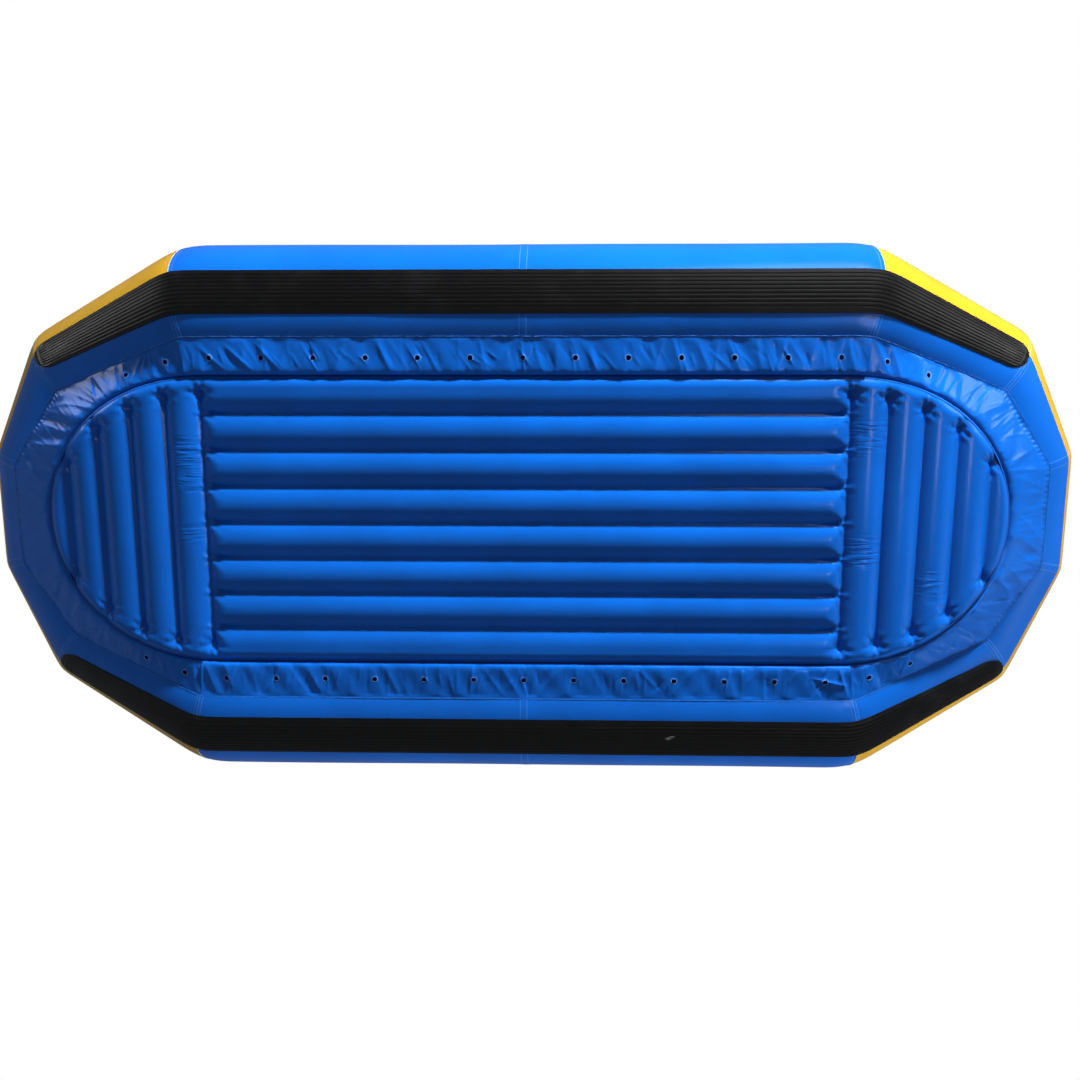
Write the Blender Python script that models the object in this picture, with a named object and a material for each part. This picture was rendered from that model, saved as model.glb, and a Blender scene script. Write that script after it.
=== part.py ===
"""Self-bailing inflatable fishing raft with a mitred tube ring, an I-beam floor and two thwarts.

Metres, +Z up, +X towards the bow, +Y to port. The origin is on the ground under the middle.
"""

import math

import bmesh
import bpy
from mathutils import Matrix, Vector
from mathutils.geometry import delaunay_2d_cdt

# Coated fabric, and the gap that is left between two pieces that touch
skin = 0.0012
gap = 0.0003
cut_overrun = 0.03

# Tube ring: one corner of its axis, from the end of the side tube to the nose
tube_radius = 0.28
side_half_length = 1.245
axis_half_beam = 0.77
shoulder_reach = 0.55
shoulder_y = 0.525
shoulder_rise = 0.19
nose_reach = 0.715
nose_y = 0.186
nose_rise = 0.22
tube_facets = 36

# Angles round the tube, from its outward side (0) down to its lowest line (90)
colour_angles = {"quarter": 68.0, "shoulder": 47.0, "nose": 40.8}
weld_angles = {"quarter": 108.6, "shoulder": 91.0, "nose": 72.0}
strip_low_angles = {"quarter": 87.9, "shoulder": 67.4}
strip_high_angles = {"quarter": 53.2, "shoulder": 39.3}
upper_panel_inner_angle = -155.0
upper_panel_steps = 16
lower_panel_steps = 12
quarter_twist_steps = 2
shoulder_twist_steps = 2
diaphragm_dish = 0.05

# Ribbed rubber wear strips
strip_base = 0.0028
strip_rib = 0.0022
strip_rib_count = 10
strip_border_share = 0.05
strip_rib_top_share = 0.5
strip_rib_flank_share = 0.12
strip_corner = 0.032
strip_back_steps = 9
strip_corner_turns = (0.0, 40.0, 90.0)
strip_contact_flat = 0.0019

# I-beam floor
floor_clearance = 0.012
web_height = 0.062
chamber_crown = 0.024
floor_edge_width = 0.05
bailing_gap = 0.006
beam_pitch = 0.1375
long_beam_count = 7
first_cross_inset = 0.035
cross_beam_pitch = 0.14
cross_beam_count = 5
cross_beam_inset = 0.075
beam_end_gap = 0.03
floor_straight_inset = 0.045
floor_tip_inset = 0.085
floor_rise_inset = 0.065
outline_quarter_steps = 9
edge_ring_shares = (0.0, 0.07, 0.35, 1.0)
crown_line_shares = (-0.36, 0.0, 0.36)
floor_seam_gap = 0.0004
plan_tolerance = 0.000001
seam_angle = 32.0

# Apron between tube and floor, with its drain holes
apron_lap = 0.02
apron_steps = 5
apron_nose_steps = 4
drain_radius = 0.0095
drain_pitch_share = 0.155
drain_count = 17
drain_facets = 8
drain_across_share = 0.46

# Thwarts
thwart_radius = 0.19
thwart_inset = 0.625
foot_gap = 0.04
thwart_facets = 32
thwart_valve_y = 0.30
thwart_valve_angle = 45.0

# Inflation valves
flange_radius = 0.028
flange_thickness = 0.003
barrel_radius = 0.017
barrel_depth = 0.028
bore_radius = 0.0118
guide_depth = 0.011
guide_thickness = 0.004
stem_radius = 0.0022
stem_clearance = 0.0006
vent_radius = 0.0026
vent_count = 3
poppet_radius = 0.0145
poppet_thickness = 0.003
button_radius = 0.0052
button_height = 0.003
poppet_travel = 0.007
cap_radius = 0.0225
cap_height = 0.006
cap_plug_depth = 0.003
cap_rim = 0.0015
grip_width = 0.006
grip_height = 0.006
valve_facets = 12
vent_facets = 6
poppet_facets = 8
cap_facets = 12
side_valve_inset = 0.295
side_valve_angle = -140.0
floor_valve_inset = 0.19
relief_radius = 0.024
relief_height = 0.007
relief_slot_width = 0.004
relief_slot_depth = 0.003
relief_dome_angles = (25.0, 60.0)

# D-rings on patches
ring_wire = 0.003
ring_half_width = 0.028
ring_leg = 0.012
ring_arc_steps = 7
ring_corner = 0.004
ring_angle = -40.0
ring_rest_tilt = -7.0
ring_inset = 0.315
patch_thickness = 0.002
patch_half_length = 0.062
patch_tip_share = 0.55
patch_facet_share = 0.9
keeper_wall = 0.0015
keeper_clearance = 0.0006
keeper_half_length = 0.017
keeper_arc_steps = 6

# Carry handles at bow and stern
handle_half_span = 0.125
handle_foot = 0.05
handle_height = 0.042
handle_width = 0.034
handle_thickness = 0.0045
handle_arc_steps = 6
handle_facet = 10

# What follows from the sizes above
shoulder_x = side_half_length + shoulder_reach
nose_x = side_half_length + nose_reach
first_cross_beam = side_half_length - first_cross_inset
floor_straight_half = side_half_length - floor_straight_inset
floor_rise_start = side_half_length - floor_rise_inset
drain_pitch = drain_pitch_share * side_half_length
thwart_x = side_half_length - thwart_inset
side_valve_x = side_half_length - side_valve_inset
floor_valve_x = first_cross_beam - floor_valve_inset
ring_pitch = side_half_length - ring_inset
strip_total = strip_base + strip_rib
axis_height = tube_radius + gap + strip_total - strip_contact_flat
half_web = web_height / 2
half_floor = half_web + chamber_crown
floor_mid = floor_clearance + half_floor
floor_reach = tube_radius + bailing_gap + half_floor
floor_edge_run = math.sqrt(floor_reach**2 - (axis_height - floor_mid) ** 2)
floor_half_width = axis_half_beam - floor_edge_run + floor_edge_width
floor_tip = nose_x - floor_tip_inset
floor_tip_rise = axis_height - tube_radius + nose_rise - floor_clearance - 2 * half_floor
long_beam_half_length = first_cross_beam - beam_end_gap
thwart_axis_height = floor_mid + half_floor + foot_gap + thwart_radius
ring_axis_lift = patch_thickness + keeper_wall + keeper_clearance + ring_wire
up = Vector((0, 0, 1))


def clear_scene():
    for old in list(bpy.data.objects):
        bpy.data.objects.remove(old, do_unlink=True)


def material(name, colour, roughness, metallic=0.0):
    made = bpy.data.materials.new(name)
    made.use_nodes = True
    principled = made.node_tree.nodes["Principled BSDF"]
    principled.inputs["Base Color"].default_value = (*colour, 1)
    principled.inputs["Roughness"].default_value = roughness
    principled.inputs["Metallic"].default_value = metallic
    return made


def new_object(name, mesh, look):
    made = bpy.data.objects.new(name, mesh)
    bpy.context.scene.collection.objects.link(made)
    if look:
        mesh.materials.append(look)
    return made


def mesh_object(name, points, faces, look, smooth_below=40.0):
    """A closed body from points and faces, with its faces turned outwards."""
    shape = bmesh.new()
    corners = [shape.verts.new(point) for point in points]
    for face in faces:
        shape.faces.new([corners[index] for index in face])
    bmesh.ops.recalc_face_normals(shape, faces=shape.faces)
    mesh = bpy.data.meshes.new(name)
    shape.to_mesh(mesh)
    shape.free()
    mesh.shade_smooth()
    mesh.set_sharp_from_angle(angle=math.radians(smooth_below))
    return new_object(name, mesh, look)


def helper(made):
    """Marks an object as a cutter: it shapes others and is no piece itself."""
    made.hide_render = True
    made.display_type = "WIRE"
    return made


def boolean(target, other, operation, solver="EXACT"):
    modifier = target.modifiers.new(other.name, "BOOLEAN")
    modifier.object = other
    modifier.operation = operation
    modifier.solver = solver
    return modifier


def grid_faces(rows, columns, first, wrap):
    """Quads over a grid of points that is stored row by row."""
    faces = []
    for row in range(rows - 1):
        for column in range(columns if wrap else columns - 1):
            beside = (column + 1) % columns
            low = first + row * columns
            high = low + columns
            faces.append((low + column, low + beside, high + beside, high + column))
    return faces


def split(points, quads):
    """Triangles from quads, each cut along its shorter diagonal, so that faces that lie close stay alike."""
    halves = []
    for a, b, c, d in quads:
        if (points[a] - points[c]).length <= (points[b] - points[d]).length:
            halves += [(a, b, c), (a, c, d)]
        else:
            halves += [(b, c, d), (b, d, a)]
    return halves


def walled(name, outer, inner, look, wrap=False):
    """A thin closed body between two grids of points, rows along the piece and columns round it."""
    rows = len(outer)
    columns = len(outer[0])
    points = [point for row in outer for point in row] + [point for row in inner for point in row]
    second = rows * columns
    faces = split(points, grid_faces(rows, columns, 0, wrap))
    faces += [tuple(second + index for index in face[::-1]) for face in faces]
    for start in (0, (rows - 1) * columns):
        for column in range(columns if wrap else columns - 1):
            beside = (column + 1) % columns
            faces.append((start + column, start + beside, second + start + beside, second + start + column))
    if not wrap:
        for column in (0, columns - 1):
            for row in range(rows - 1):
                here = row * columns + column
                there = here + columns
                faces.append((here, there, second + there, second + here))
    return mesh_object(name, points, faces, look)


def turned(name, profile, facets, look, frame):
    """A body of revolution about its own Z; profile is (radius, height) points, and closes on itself."""
    points = []
    rings = []
    for radius, height in profile:
        if radius == 0:
            rings.append([len(points)])
            points.append(Vector((0, 0, height)))
            continue
        rings.append(list(range(len(points), len(points) + facets)))
        for step in range(facets):
            angle = math.tau * (step + 0.5) / facets
            points.append(Vector((radius * math.cos(angle), radius * math.sin(angle), height)))
    faces = []
    hollow = all(radius > 0 for radius, _ in profile)
    pairs = list(zip(rings, rings[1:] + rings[:1])) if hollow else list(zip(rings, rings[1:]))
    for lower, upper in pairs:
        for step in range(facets):
            beside = (step + 1) % facets
            if len(lower) == 1:
                faces.append((lower[0], upper[beside], upper[step]))
            elif len(upper) == 1:
                faces.append((lower[step], lower[beside], upper[0]))
            else:
                faces.append((lower[step], lower[beside], upper[beside], upper[step]))
    made = mesh_object(name, points, faces, look)
    made.matrix_world = frame
    return made


class Corner:
    """A mitre of the tube ring. It gives points of the mitre's outline by their angle round the tube."""

    def __init__(self, before, place, after):
        arriving = (place - before).normalized()
        leaving = (after - place).normalized()
        self.place = place
        self.arriving = arriving
        self.leaving = leaving
        normal = (arriving + leaving).normalized()
        self.normal = normal
        self.out = up.cross(normal).normalized()
        self.down = self.out.cross(normal)

    def point(self, angle, radius, pull=0.0):
        """pull moves the point along the tube, onwards where it is over zero and back where it is under."""
        turn = math.radians(angle)
        ray = math.cos(turn) * self.out + math.sin(turn) * self.down
        reach = radius / math.sqrt(1 - ray.dot(self.arriving) ** 2)
        along = self.leaving if pull > 0 else self.arriving
        return self.place + reach * ray + pull * along

    def ruled_point(self, angle, radius, along, pull=0.0):
        """The point where a straight line of the tube that runs along, at an angle of its section, ends."""
        turn = math.radians(angle)
        out = up.cross(along).normalized()
        ray = math.cos(turn) * out + math.sin(turn) * out.cross(along)
        slide = -radius * ray.dot(self.normal) / along.dot(self.normal)
        return self.place + radius * ray + (slide + pull) * along

    def section_angle(self, angle, along):
        """An angle of the mitre's outline, as the square section of the tube that runs along has it."""
        arm = self.point(angle, tube_radius) - self.place
        out = up.cross(along).normalized()
        turned_by = math.degrees(math.atan2(arm.dot(out.cross(along)), arm.dot(out))) - angle
        return angle + (turned_by + 180) % 360 - 180


corner_kinds = ("quarter", "shoulder", "nose")
corner_places = {
    "quarter": Vector((side_half_length, axis_half_beam, axis_height)),
    "shoulder": Vector((shoulder_x, shoulder_y, axis_height + shoulder_rise)),
    "nose": Vector((nose_x, nose_y, axis_height + nose_rise)),
}


def ring_of_corners():
    """The twelve mitres in turn, from the port quarter of the bow round by starboard; each with its kind."""
    kinds = corner_kinds + corner_kinds[::-1]
    signs = ((1, 1), (1, -1), (-1, -1), (-1, 1))
    places = []
    for number, (ahead, port) in enumerate(signs):
        order = corner_kinds if number % 2 == 0 else corner_kinds[::-1]
        for kind in order:
            place = corner_places[kind]
            places.append((kind, Vector((ahead * place.x, port * place.y, place.z))))
    corners = []
    for number, (kind, place) in enumerate(places):
        before = places[number - 1][1]
        after = places[(number + 1) % len(places)][1]
        corners.append((kind, Corner(before, place, after)))
    return corners


corners = ring_of_corners()


def corner_at(number):
    return corners[number % len(corners)]


def spread(first, last, steps):
    return [first + (last - first) * step / steps for step in range(steps + 1)]


def tube_point(segment, share, start_angle, end_angle, radius, pull=0.0):
    """A point on one length of tube, part of the way between the outlines of its two mitres."""
    start = corner_at(segment)[1]
    end = corner_at(segment + 1)[1]
    along = start.leaving
    first = start.section_angle(start_angle, along)
    last = end.section_angle(end_angle, along)
    angle = first + (last - first) * share
    near = start.ruled_point(angle, radius, along)
    return near.lerp(end.ruled_point(angle, radius, along), share) + pull * along


def segment_kind(segment):
    """A segment takes the name of the lower of its two mitres, and the straight one is the side."""
    kinds = {corner_at(segment)[0], corner_at(segment + 1)[0]}
    if kinds == {"quarter"}:
        return "side"
    return min(kinds, key=corner_kinds.index)


def stations(first, last, shares_of):
    """Stops along the tube from mitre first to mitre last, as (segment, share, pull at a free end)."""
    stops = []
    for segment in range(first, last):
        for share in shares_of[segment_kind(segment)]:
            stops.append((segment, share, gap / 2 if not stops else 0.0))
    stops.append((last - 1, 1.0, -gap / 2))
    return stops


def equal_shares(steps):
    return [step / steps for step in range(steps)]


def panel(name, first, last, angles_of, look):
    """A fabric panel of the ring from mitre first to mitre last, over the angles that angles_of gives."""
    grids = []
    for radius in (tube_radius, tube_radius - skin):
        rows = []
        for segment, share, pull in stations(first, last, panel_shares):
            starts = angles_of(corner_at(segment)[0])
            ends = angles_of(corner_at(segment + 1)[0])
            rows.append([tube_point(segment, share, a, b, radius, pull) for a, b in zip(starts, ends)])
        grids.append(rows)
    return walled(name, grids[0], grids[1], look)


def upper_angles(kind):
    edge = math.degrees(gap / tube_radius) / 2
    return spread(upper_panel_inner_angle + edge, colour_angles[kind] - edge, upper_panel_steps)


def lower_angles(kind):
    edge = math.degrees(gap / tube_radius) / 2
    return spread(colour_angles[kind] + edge, 360 + upper_panel_inner_angle - edge, lower_panel_steps)


panel_shares = {
    "side": equal_shares(1),
    "quarter": equal_shares(quarter_twist_steps),
    "shoulder": equal_shares(shoulder_twist_steps),
    "nose": equal_shares(1),
}
flat_share = (side_half_length - floor_rise_start) / (2 * side_half_length)
apron_shares = {
    "side": [0.0, flat_share, 1 - flat_share],
    "quarter": equal_shares(apron_steps),
    "shoulder": equal_shares(apron_steps),
    "nose": equal_shares(apron_nose_steps),
}


def tube_angles():
    return [360.0 * step / tube_facets for step in range(tube_facets)]


def side_tube(name, first, look):
    """The blue sleeve of one side, from mitre first to the next one."""
    grids = []
    for radius in (tube_radius, tube_radius - skin):
        rows = []
        along = corner_at(first)[1].leaving
        for number, pull in ((first, gap / 2), (first + 1, -gap / 2)):
            corner = corner_at(number)[1]
            rows.append([corner.ruled_point(angle, radius, along, pull) for angle in tube_angles()])
        grids.append(rows)
    return walled(name, grids[0], grids[1], look, wrap=True)


def diaphragm(name, centre, out, along, angles, look):
    """A coned fabric bulkhead across a tube, whose rim follows the tube's inside facet by facet."""
    rim_radius = tube_radius - skin - 2 * gap
    rays = [math.cos(math.radians(a)) * out - math.sin(math.radians(a)) * up for a in angles]
    count = len(rays)
    points = []
    for lift in (0.0, skin):
        points += [centre + rim_radius * ray + lift * along for ray in rays]
        points.append(centre + (diaphragm_dish + lift) * along)
    second = count + 1
    faces = []
    for step in range(count):
        beside = (step + 1) % count
        faces.append((step, beside, count))
        faces.append((second + beside, second + step, second + count))
        faces.append((step, beside, second + beside, second + step))
    return mesh_object(name, points, faces, look)


def wear_strip(name, first, look):
    """A ribbed rubber strip on the lower outside of one side, over the quarters on both ends of it."""
    outline = [(0.0, 0.0), (0.0, 1.0)]
    rib_pitch = (1 - 2 * strip_border_share) / strip_rib_count
    flank = rib_pitch * strip_rib_flank_share
    top = rib_pitch * strip_rib_top_share
    for rib in range(strip_rib_count):
        start = strip_border_share + rib * rib_pitch + (rib_pitch - top) / 2
        outline += [(start - flank, 1.0), (start, 2.0), (start + top, 2.0), (start + top + flank, 1.0)]
    outline += [(1.0, 1.0)]
    outline += [(1 - step / strip_back_steps, 0.0) for step in range(strip_back_steps)]
    lift = {0.0: gap, 1.0: gap + strip_base, 2.0: gap + strip_total}

    def station(segment, share, inset):
        """One outline of the strip, part of the way along a segment, its edges drawn in by inset."""
        edge = math.degrees(inset / tube_radius)
        start_kind = corner_at(segment)[0]
        end_kind = corner_at(segment + 1)[0]
        points = []
        for across, level in outline:
            angles = []
            for kind in (start_kind, end_kind):
                low = strip_low_angles[kind] - edge
                high = strip_high_angles[kind] + edge
                angles.append(low + (high - low) * across)
            points.append(tube_point(segment, share, *angles, tube_radius + lift[level]))
        return points

    before = first - 1
    after = first + 1
    length = (corner_at(before)[1].place - corner_at(first)[1].place).length
    steps = quarter_twist_steps
    rows = [station(before, away / length, inset) for away, inset in corner_inset()]
    rows += [station(before, step / steps, 0.0) for step in range(1, steps)]
    rows += [station(first, 0.0, 0.0)]
    rows += [station(after, step / steps, 0.0) for step in range(steps)]
    rows += [station(after, 1 - away / length, inset) for away, inset in reversed(corner_inset())]
    count = len(outline)
    points = [point for row in rows for point in row]
    faces = split(points, grid_faces(len(rows), count, 0, wrap=True))
    faces.append(tuple(range(count)))
    faces.append(tuple(range((len(rows) - 1) * count, len(rows) * count)))
    made = mesh_object(name, points, faces, look, smooth_below=25.0)
    boolean(made, ground_cutter(name + "_ground_cut"), "DIFFERENCE")
    return made


def ground_cutter(name):
    """A block under the ground, which leaves a strip flat where the raft's weight rests on it."""
    points = []
    for x in (-shoulder_x, shoulder_x):
        for y in (-2 * axis_half_beam, 2 * axis_half_beam):
            points += [Vector((x, y, -cut_overrun)), Vector((x, y, 0))]
    faces = [(0, 2, 3, 1), (4, 5, 7, 6), (0, 1, 5, 4), (2, 6, 7, 3), (0, 4, 6, 2), (1, 3, 7, 5)]
    return helper(mesh_object(name, points, faces, None))


def corner_inset():
    """How far from its end, and how far in from its edges, a strip lies as it rounds its corners."""
    pairs = []
    for turn in strip_corner_turns:
        away = gap + strip_corner * (1 - math.cos(math.radians(turn)))
        inset = strip_corner * (1 - math.sin(math.radians(turn)))
        pairs.append((away, inset))
    return pairs


def floor_rise(x):
    beyond = max(0.0, abs(x) - floor_rise_start)
    return floor_tip_rise * (beyond / (floor_tip - floor_rise_start)) ** 2


def floor_outline_point(turn):
    """A point of the floor's plan and its outward direction; turn runs from the beam (0) to the tip (90)."""
    angle = math.radians(turn)
    reach = floor_tip - floor_straight_half
    place = Vector((floor_straight_half + reach * math.sin(angle), floor_half_width * math.cos(angle), 0))
    outward = Vector((floor_half_width * math.sin(angle), reach * math.cos(angle), 0)).normalized()
    return place, outward


def floor_outline(inset):
    """The floor's plan drawn in by inset, as points in turn."""
    quarter = []
    for step in range(outline_quarter_steps + 1):
        place, outward = floor_outline_point(90.0 * step / outline_quarter_steps)
        quarter.append(place - inset * outward)
    bow = quarter + [Vector((p.x, -p.y, 0)) for p in quarter[-2::-1]]
    stern = [Vector((-p.x, -p.y, 0)) for p in bow]
    return bow + stern


def cross_beam_reach(x):
    """Half the length that a cross web has at x, short of the floor's round edge."""
    beyond = max(0.0, x - floor_straight_half) / (floor_tip - floor_straight_half)
    return floor_half_width * math.sqrt(1 - beyond**2) - cross_beam_inset


def long_line(y):
    """A line along the floor in plan, with a stop on both sides where the first cross web is near."""
    stops = (1.0, 1 - (beam_pitch / 2 - beam_end_gap) / long_beam_half_length)
    xs = [-long_beam_half_length * stop for stop in stops]
    xs += [-x for x in reversed(xs)]
    return [Vector((x, y, 0)) for x in xs]


def cross_line(x):
    """A line across the floor in plan."""
    reach = cross_beam_reach(abs(x))
    return [Vector((x, side * reach, 0)) for side in (-1, 0, 1)]


def beam_lines():
    """Every I-beam web in plan, as a line of points."""
    middle = (long_beam_count - 1) / 2
    lines = [long_line((number - middle) * beam_pitch) for number in range(long_beam_count)]
    for number in range(cross_beam_count):
        for ahead in (1, -1):
            lines.append(cross_line(ahead * (first_cross_beam + number * cross_beam_pitch)))
    return lines


def crown_lines():
    """Lines along the top of every chamber, and on both of its flanks."""
    lines = []
    for number in range(long_beam_count + 1):
        y = (number - long_beam_count / 2) * beam_pitch
        lines += [long_line(y + share * beam_pitch / 2) for share in crown_line_shares]
    for number in range(cross_beam_count - 1):
        x = first_cross_beam + (number + 0.5) * cross_beam_pitch
        for ahead in (1, -1):
            lines += [cross_line(ahead * (x + share * cross_beam_pitch / 2)) for share in crown_line_shares]
    return lines


def distance_to_line(point, line):
    start, end = line[0], line[-1]
    along = end - start
    share = max(0.0, min(1.0, (point - start).dot(along) / along.length_squared))
    return (point - start - share * along).length


def distance_to_edge(point, outline):
    ends = zip(outline, outline[1:] + outline[:1])
    return min(distance_to_line(point, line) for line in ends)


def bulge(share):
    """A round quarter from 0 to 1, as a taut skin lies between two seams."""
    held = max(0.0, min(1.0, share))
    return math.sqrt(1 - (1 - held) ** 2)


def floor_half_depth(point, outline, beams):
    """Half the floor's thickness at a point of its plan: full on a crown, less on a web, none at the edge."""
    edge = bulge(distance_to_edge(point, outline) / floor_edge_width)
    web = bulge(min(distance_to_line(point, beam) for beam in beams) / (beam_pitch / 2))
    return edge * (half_web + chamber_crown * web)


def floor_plan(outline, beams):
    """Plan points for a skin and the lines between them along which it bends: edge rings, webs, crowns."""
    points = []
    edges = []
    for share in edge_ring_shares:
        ring = floor_outline(share * floor_edge_width)
        first = len(points)
        points += ring
        edges += [(first + index, first + (index + 1) % len(ring)) for index in range(len(ring))]
    for line in beams + crown_lines():
        first = len(points)
        points += line
        edges += [(first + index, first + index + 1) for index in range(len(line) - 1)]
    return points, edges


def floor_skin(name, side, look):
    """The upper skin (side 1) or the lower one (side -1) of the floor, as a pillowed sheet of fabric."""
    outline = floor_outline(0.0)
    beams = beam_lines()
    places, edges = floor_plan(outline, beams)
    flat = [Vector((place.x, place.y)) for place in places]
    plan, _, triangles, _, _, _ = delaunay_2d_cdt(flat, edges, [], 1, plan_tolerance)
    points = []
    for place in plan:
        here = Vector((place.x, place.y, 0))
        depth = floor_half_depth(here, outline, beams)
        height = floor_mid + floor_rise(here.x) + side * max(depth, floor_seam_gap)
        points.append(Vector((here.x, here.y, height)))
    faces = [tuple(face) if side > 0 else tuple(face)[::-1] for face in triangles]
    mesh = bpy.data.meshes.new(name)
    mesh.from_pydata(points, [], faces)
    mesh.shade_smooth()
    made = new_object(name, mesh, look)
    solidify = made.modifiers.new("fabric", "SOLIDIFY")
    solidify.thickness = skin
    solidify.offset = -1
    solidify.use_even_offset = False
    return made


def floor_webs(name):
    """All I-beam webs as upright strips that reach half-way into the lower skin."""
    points = []
    faces = []
    for places in beam_lines():
        along = (places[-1] - places[0]).normalized()
        across = along.cross(up) * skin / 2
        first = len(points)
        for place in places:
            middle = floor_mid + floor_rise(place.x)
            low = middle - half_web + skin / 2
            high = middle + half_web - skin - 3 * gap
            for offset, height in ((across, low), (-across, low), (-across, high), (across, high)):
                points.append(Vector((place.x + offset.x, place.y + offset.y, height)))
        faces += grid_faces(len(places), 4, first, wrap=True)
        last = first + 4 * (len(places) - 1)
        faces.append((first, first + 1, first + 2, first + 3))
        faces.append((last, last + 1, last + 2, last + 3))
    return helper(mesh_object(name, points, faces, None))


def apron_station(segment, share, pull):
    """The apron's section at a stop of the tube: lap, weld line and floor seam, on both of its faces."""
    start = weld_angles[corner_at(segment)[0]]
    end = weld_angles[corner_at(segment + 1)[0]]
    lap = math.degrees(apron_lap / tube_radius)
    sections = []
    for lift in (2 * gap, 2 * gap + skin):
        radius = tube_radius + lift
        lap_point = tube_point(segment, share, start - lap, end - lap, radius, pull)
        weld_point = tube_point(segment, share, start, end, radius, pull)
        sections.append([lap_point, weld_point, floor_seam(weld_point, lift)])
    return sections


def floor_seam(weld_point, lift):
    """Where the apron meets the floor's edge, straight in from a point of the weld line."""
    ahead = 1 if weld_point.x >= 0 else -1
    port = 1 if weld_point.y >= 0 else -1
    reach = floor_tip - floor_straight_half
    beyond = abs(weld_point.x) - floor_straight_half
    if beyond <= 0:
        place = Vector((abs(weld_point.x), floor_half_width, 0))
        outward = Vector((0, 1, 0))
    else:
        turn = math.degrees(math.atan2(beyond / reach, abs(weld_point.y) / floor_half_width))
        place, outward = floor_outline_point(turn)
    slope = math.radians(seam_angle)
    across = (floor_edge_width + lift) * math.cos(slope) - floor_edge_width
    drop = (half_floor + lift) * math.sin(slope)
    spot = place + across * outward
    height = floor_mid + floor_rise(spot.x) - drop
    return Vector((ahead * spot.x, port * spot.y, height))


def apron(name, first, last, look):
    """The fabric flap between mitre first and mitre last, welded to the tube and to the floor's edge."""
    upper_rows = []
    lower_rows = []
    for segment, share, pull in stations(first, last, apron_shares):
        upper, lower = apron_station(segment, share, 4 * pull)
        upper_rows.append(upper)
        lower_rows.append(lower)
    return walled(name, lower_rows, upper_rows, look)


def drain_cutter(name, places):
    points = []
    faces = []
    for place in places:
        first = len(points)
        for height in (-cut_overrun, cut_overrun):
            for step in range(drain_facets):
                angle = math.tau * step / drain_facets
                ray = Vector((math.cos(angle), math.sin(angle), 0))
                points.append(place + drain_radius * ray + height * up)
        faces += grid_faces(2, drain_facets, first, wrap=True)
        faces.append(tuple(range(first, first + drain_facets)))
        faces.append(tuple(range(first + drain_facets, first + 2 * drain_facets)))
    return helper(mesh_object(name, points, faces, None))


def drain_xs():
    """Where the drain holes lie along the hull, at an even pitch that runs on round the quarters."""
    run = corner_places["shoulder"] - corner_places["quarter"]
    lean = run.x / math.hypot(run.x, run.y)
    on_side = []
    on_bow = []
    for number in range(-(drain_count // 2), drain_count // 2 + 1):
        beyond = number * drain_pitch - side_half_length
        if beyond > 0:
            on_bow.append(side_half_length + lean * beyond)
        elif abs(number * drain_pitch) <= side_half_length:
            on_side.append(number * drain_pitch)
    return on_side, on_bow


def drain_places(segment, xs):
    """Drain holes under one segment, each part of the way from the weld line to the floor."""
    start = weld_angles[corner_at(segment)[0]]
    end = weld_angles[corner_at(segment + 1)[0]]
    first = tube_point(segment, 0.0, start, end, tube_radius)
    last = tube_point(segment, 1.0, start, end, tube_radius)
    places = []
    for x in xs:
        share = (x - first.x) / (last.x - first.x)
        weld_point = tube_point(segment, share, start, end, tube_radius)
        places.append(weld_point.lerp(floor_seam(weld_point, gap), drain_across_share))
    return places


def tube_frame(x, port, angle, lift=0.0):
    """A frame on a side tube: Z outwards from the skin, X along the tube and Y down round it."""
    turn = math.radians(angle)
    outward = Vector((0, port * math.cos(turn), -math.sin(turn)))
    along = Vector((port, 0, 0))
    down = outward.cross(along)
    centre = Vector((x, port * axis_half_beam, axis_height))
    return placed(along, down, outward, centre + (tube_radius + lift) * outward)


def placed(x_axis, y_axis, z_axis, origin):
    frame = Matrix((x_axis, y_axis, z_axis)).transposed().to_4x4()
    frame.translation = origin
    return frame


def tube_cutter(name, port, radius):
    """A straight length of side tube, for cutting a thwart's end to its shape."""
    rows = []
    for x in (-side_half_length, side_half_length):
        row = []
        for angle in tube_angles():
            turn = math.radians(angle)
            y = port * (axis_half_beam + radius * math.cos(turn))
            row.append(Vector((x, y, axis_height - radius * math.sin(turn))))
        rows.append(row)
    count = len(rows[0])
    faces = grid_faces(2, count, 0, wrap=True)
    faces.append(tuple(range(count)))
    faces.append(tuple(range(count, 2 * count)))
    return helper(mesh_object(name, rows[0] + rows[1], faces, None))


def thwart_solid(name, x, radius, look):
    """A plain cylinder across the hull, long enough to reach into both side tubes."""
    points = []
    for y in (-axis_half_beam, axis_half_beam):
        for step in range(thwart_facets):
            angle = math.tau * step / thwart_facets
            height = thwart_axis_height + radius * math.cos(angle)
            points.append(Vector((x + radius * math.sin(angle), y, height)))
    faces = grid_faces(2, thwart_facets, 0, wrap=True)
    faces.append(tuple(range(thwart_facets)))
    faces.append(tuple(range(thwart_facets, 2 * thwart_facets)))
    return mesh_object(name, points, faces, look)


def thwart(name, ahead, look):
    """An inflated cross tube whose ends fit the side tubes, hollow, and open only at its valve."""
    x = ahead * thwart_x
    made = thwart_solid(name, x, thwart_radius, look)
    hollow = helper(thwart_solid(name + "_air", x, thwart_radius - skin, None))
    for port in (1, -1):
        boolean(made, tube_cutter(f"{name}_end_cut_{port}", port, tube_radius + gap), "DIFFERENCE")
        boolean(hollow, tube_cutter(f"{name}_air_cut_{port}", port, tube_radius + gap + skin), "DIFFERENCE")
    boolean(made, hollow, "DIFFERENCE")
    return made


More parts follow.
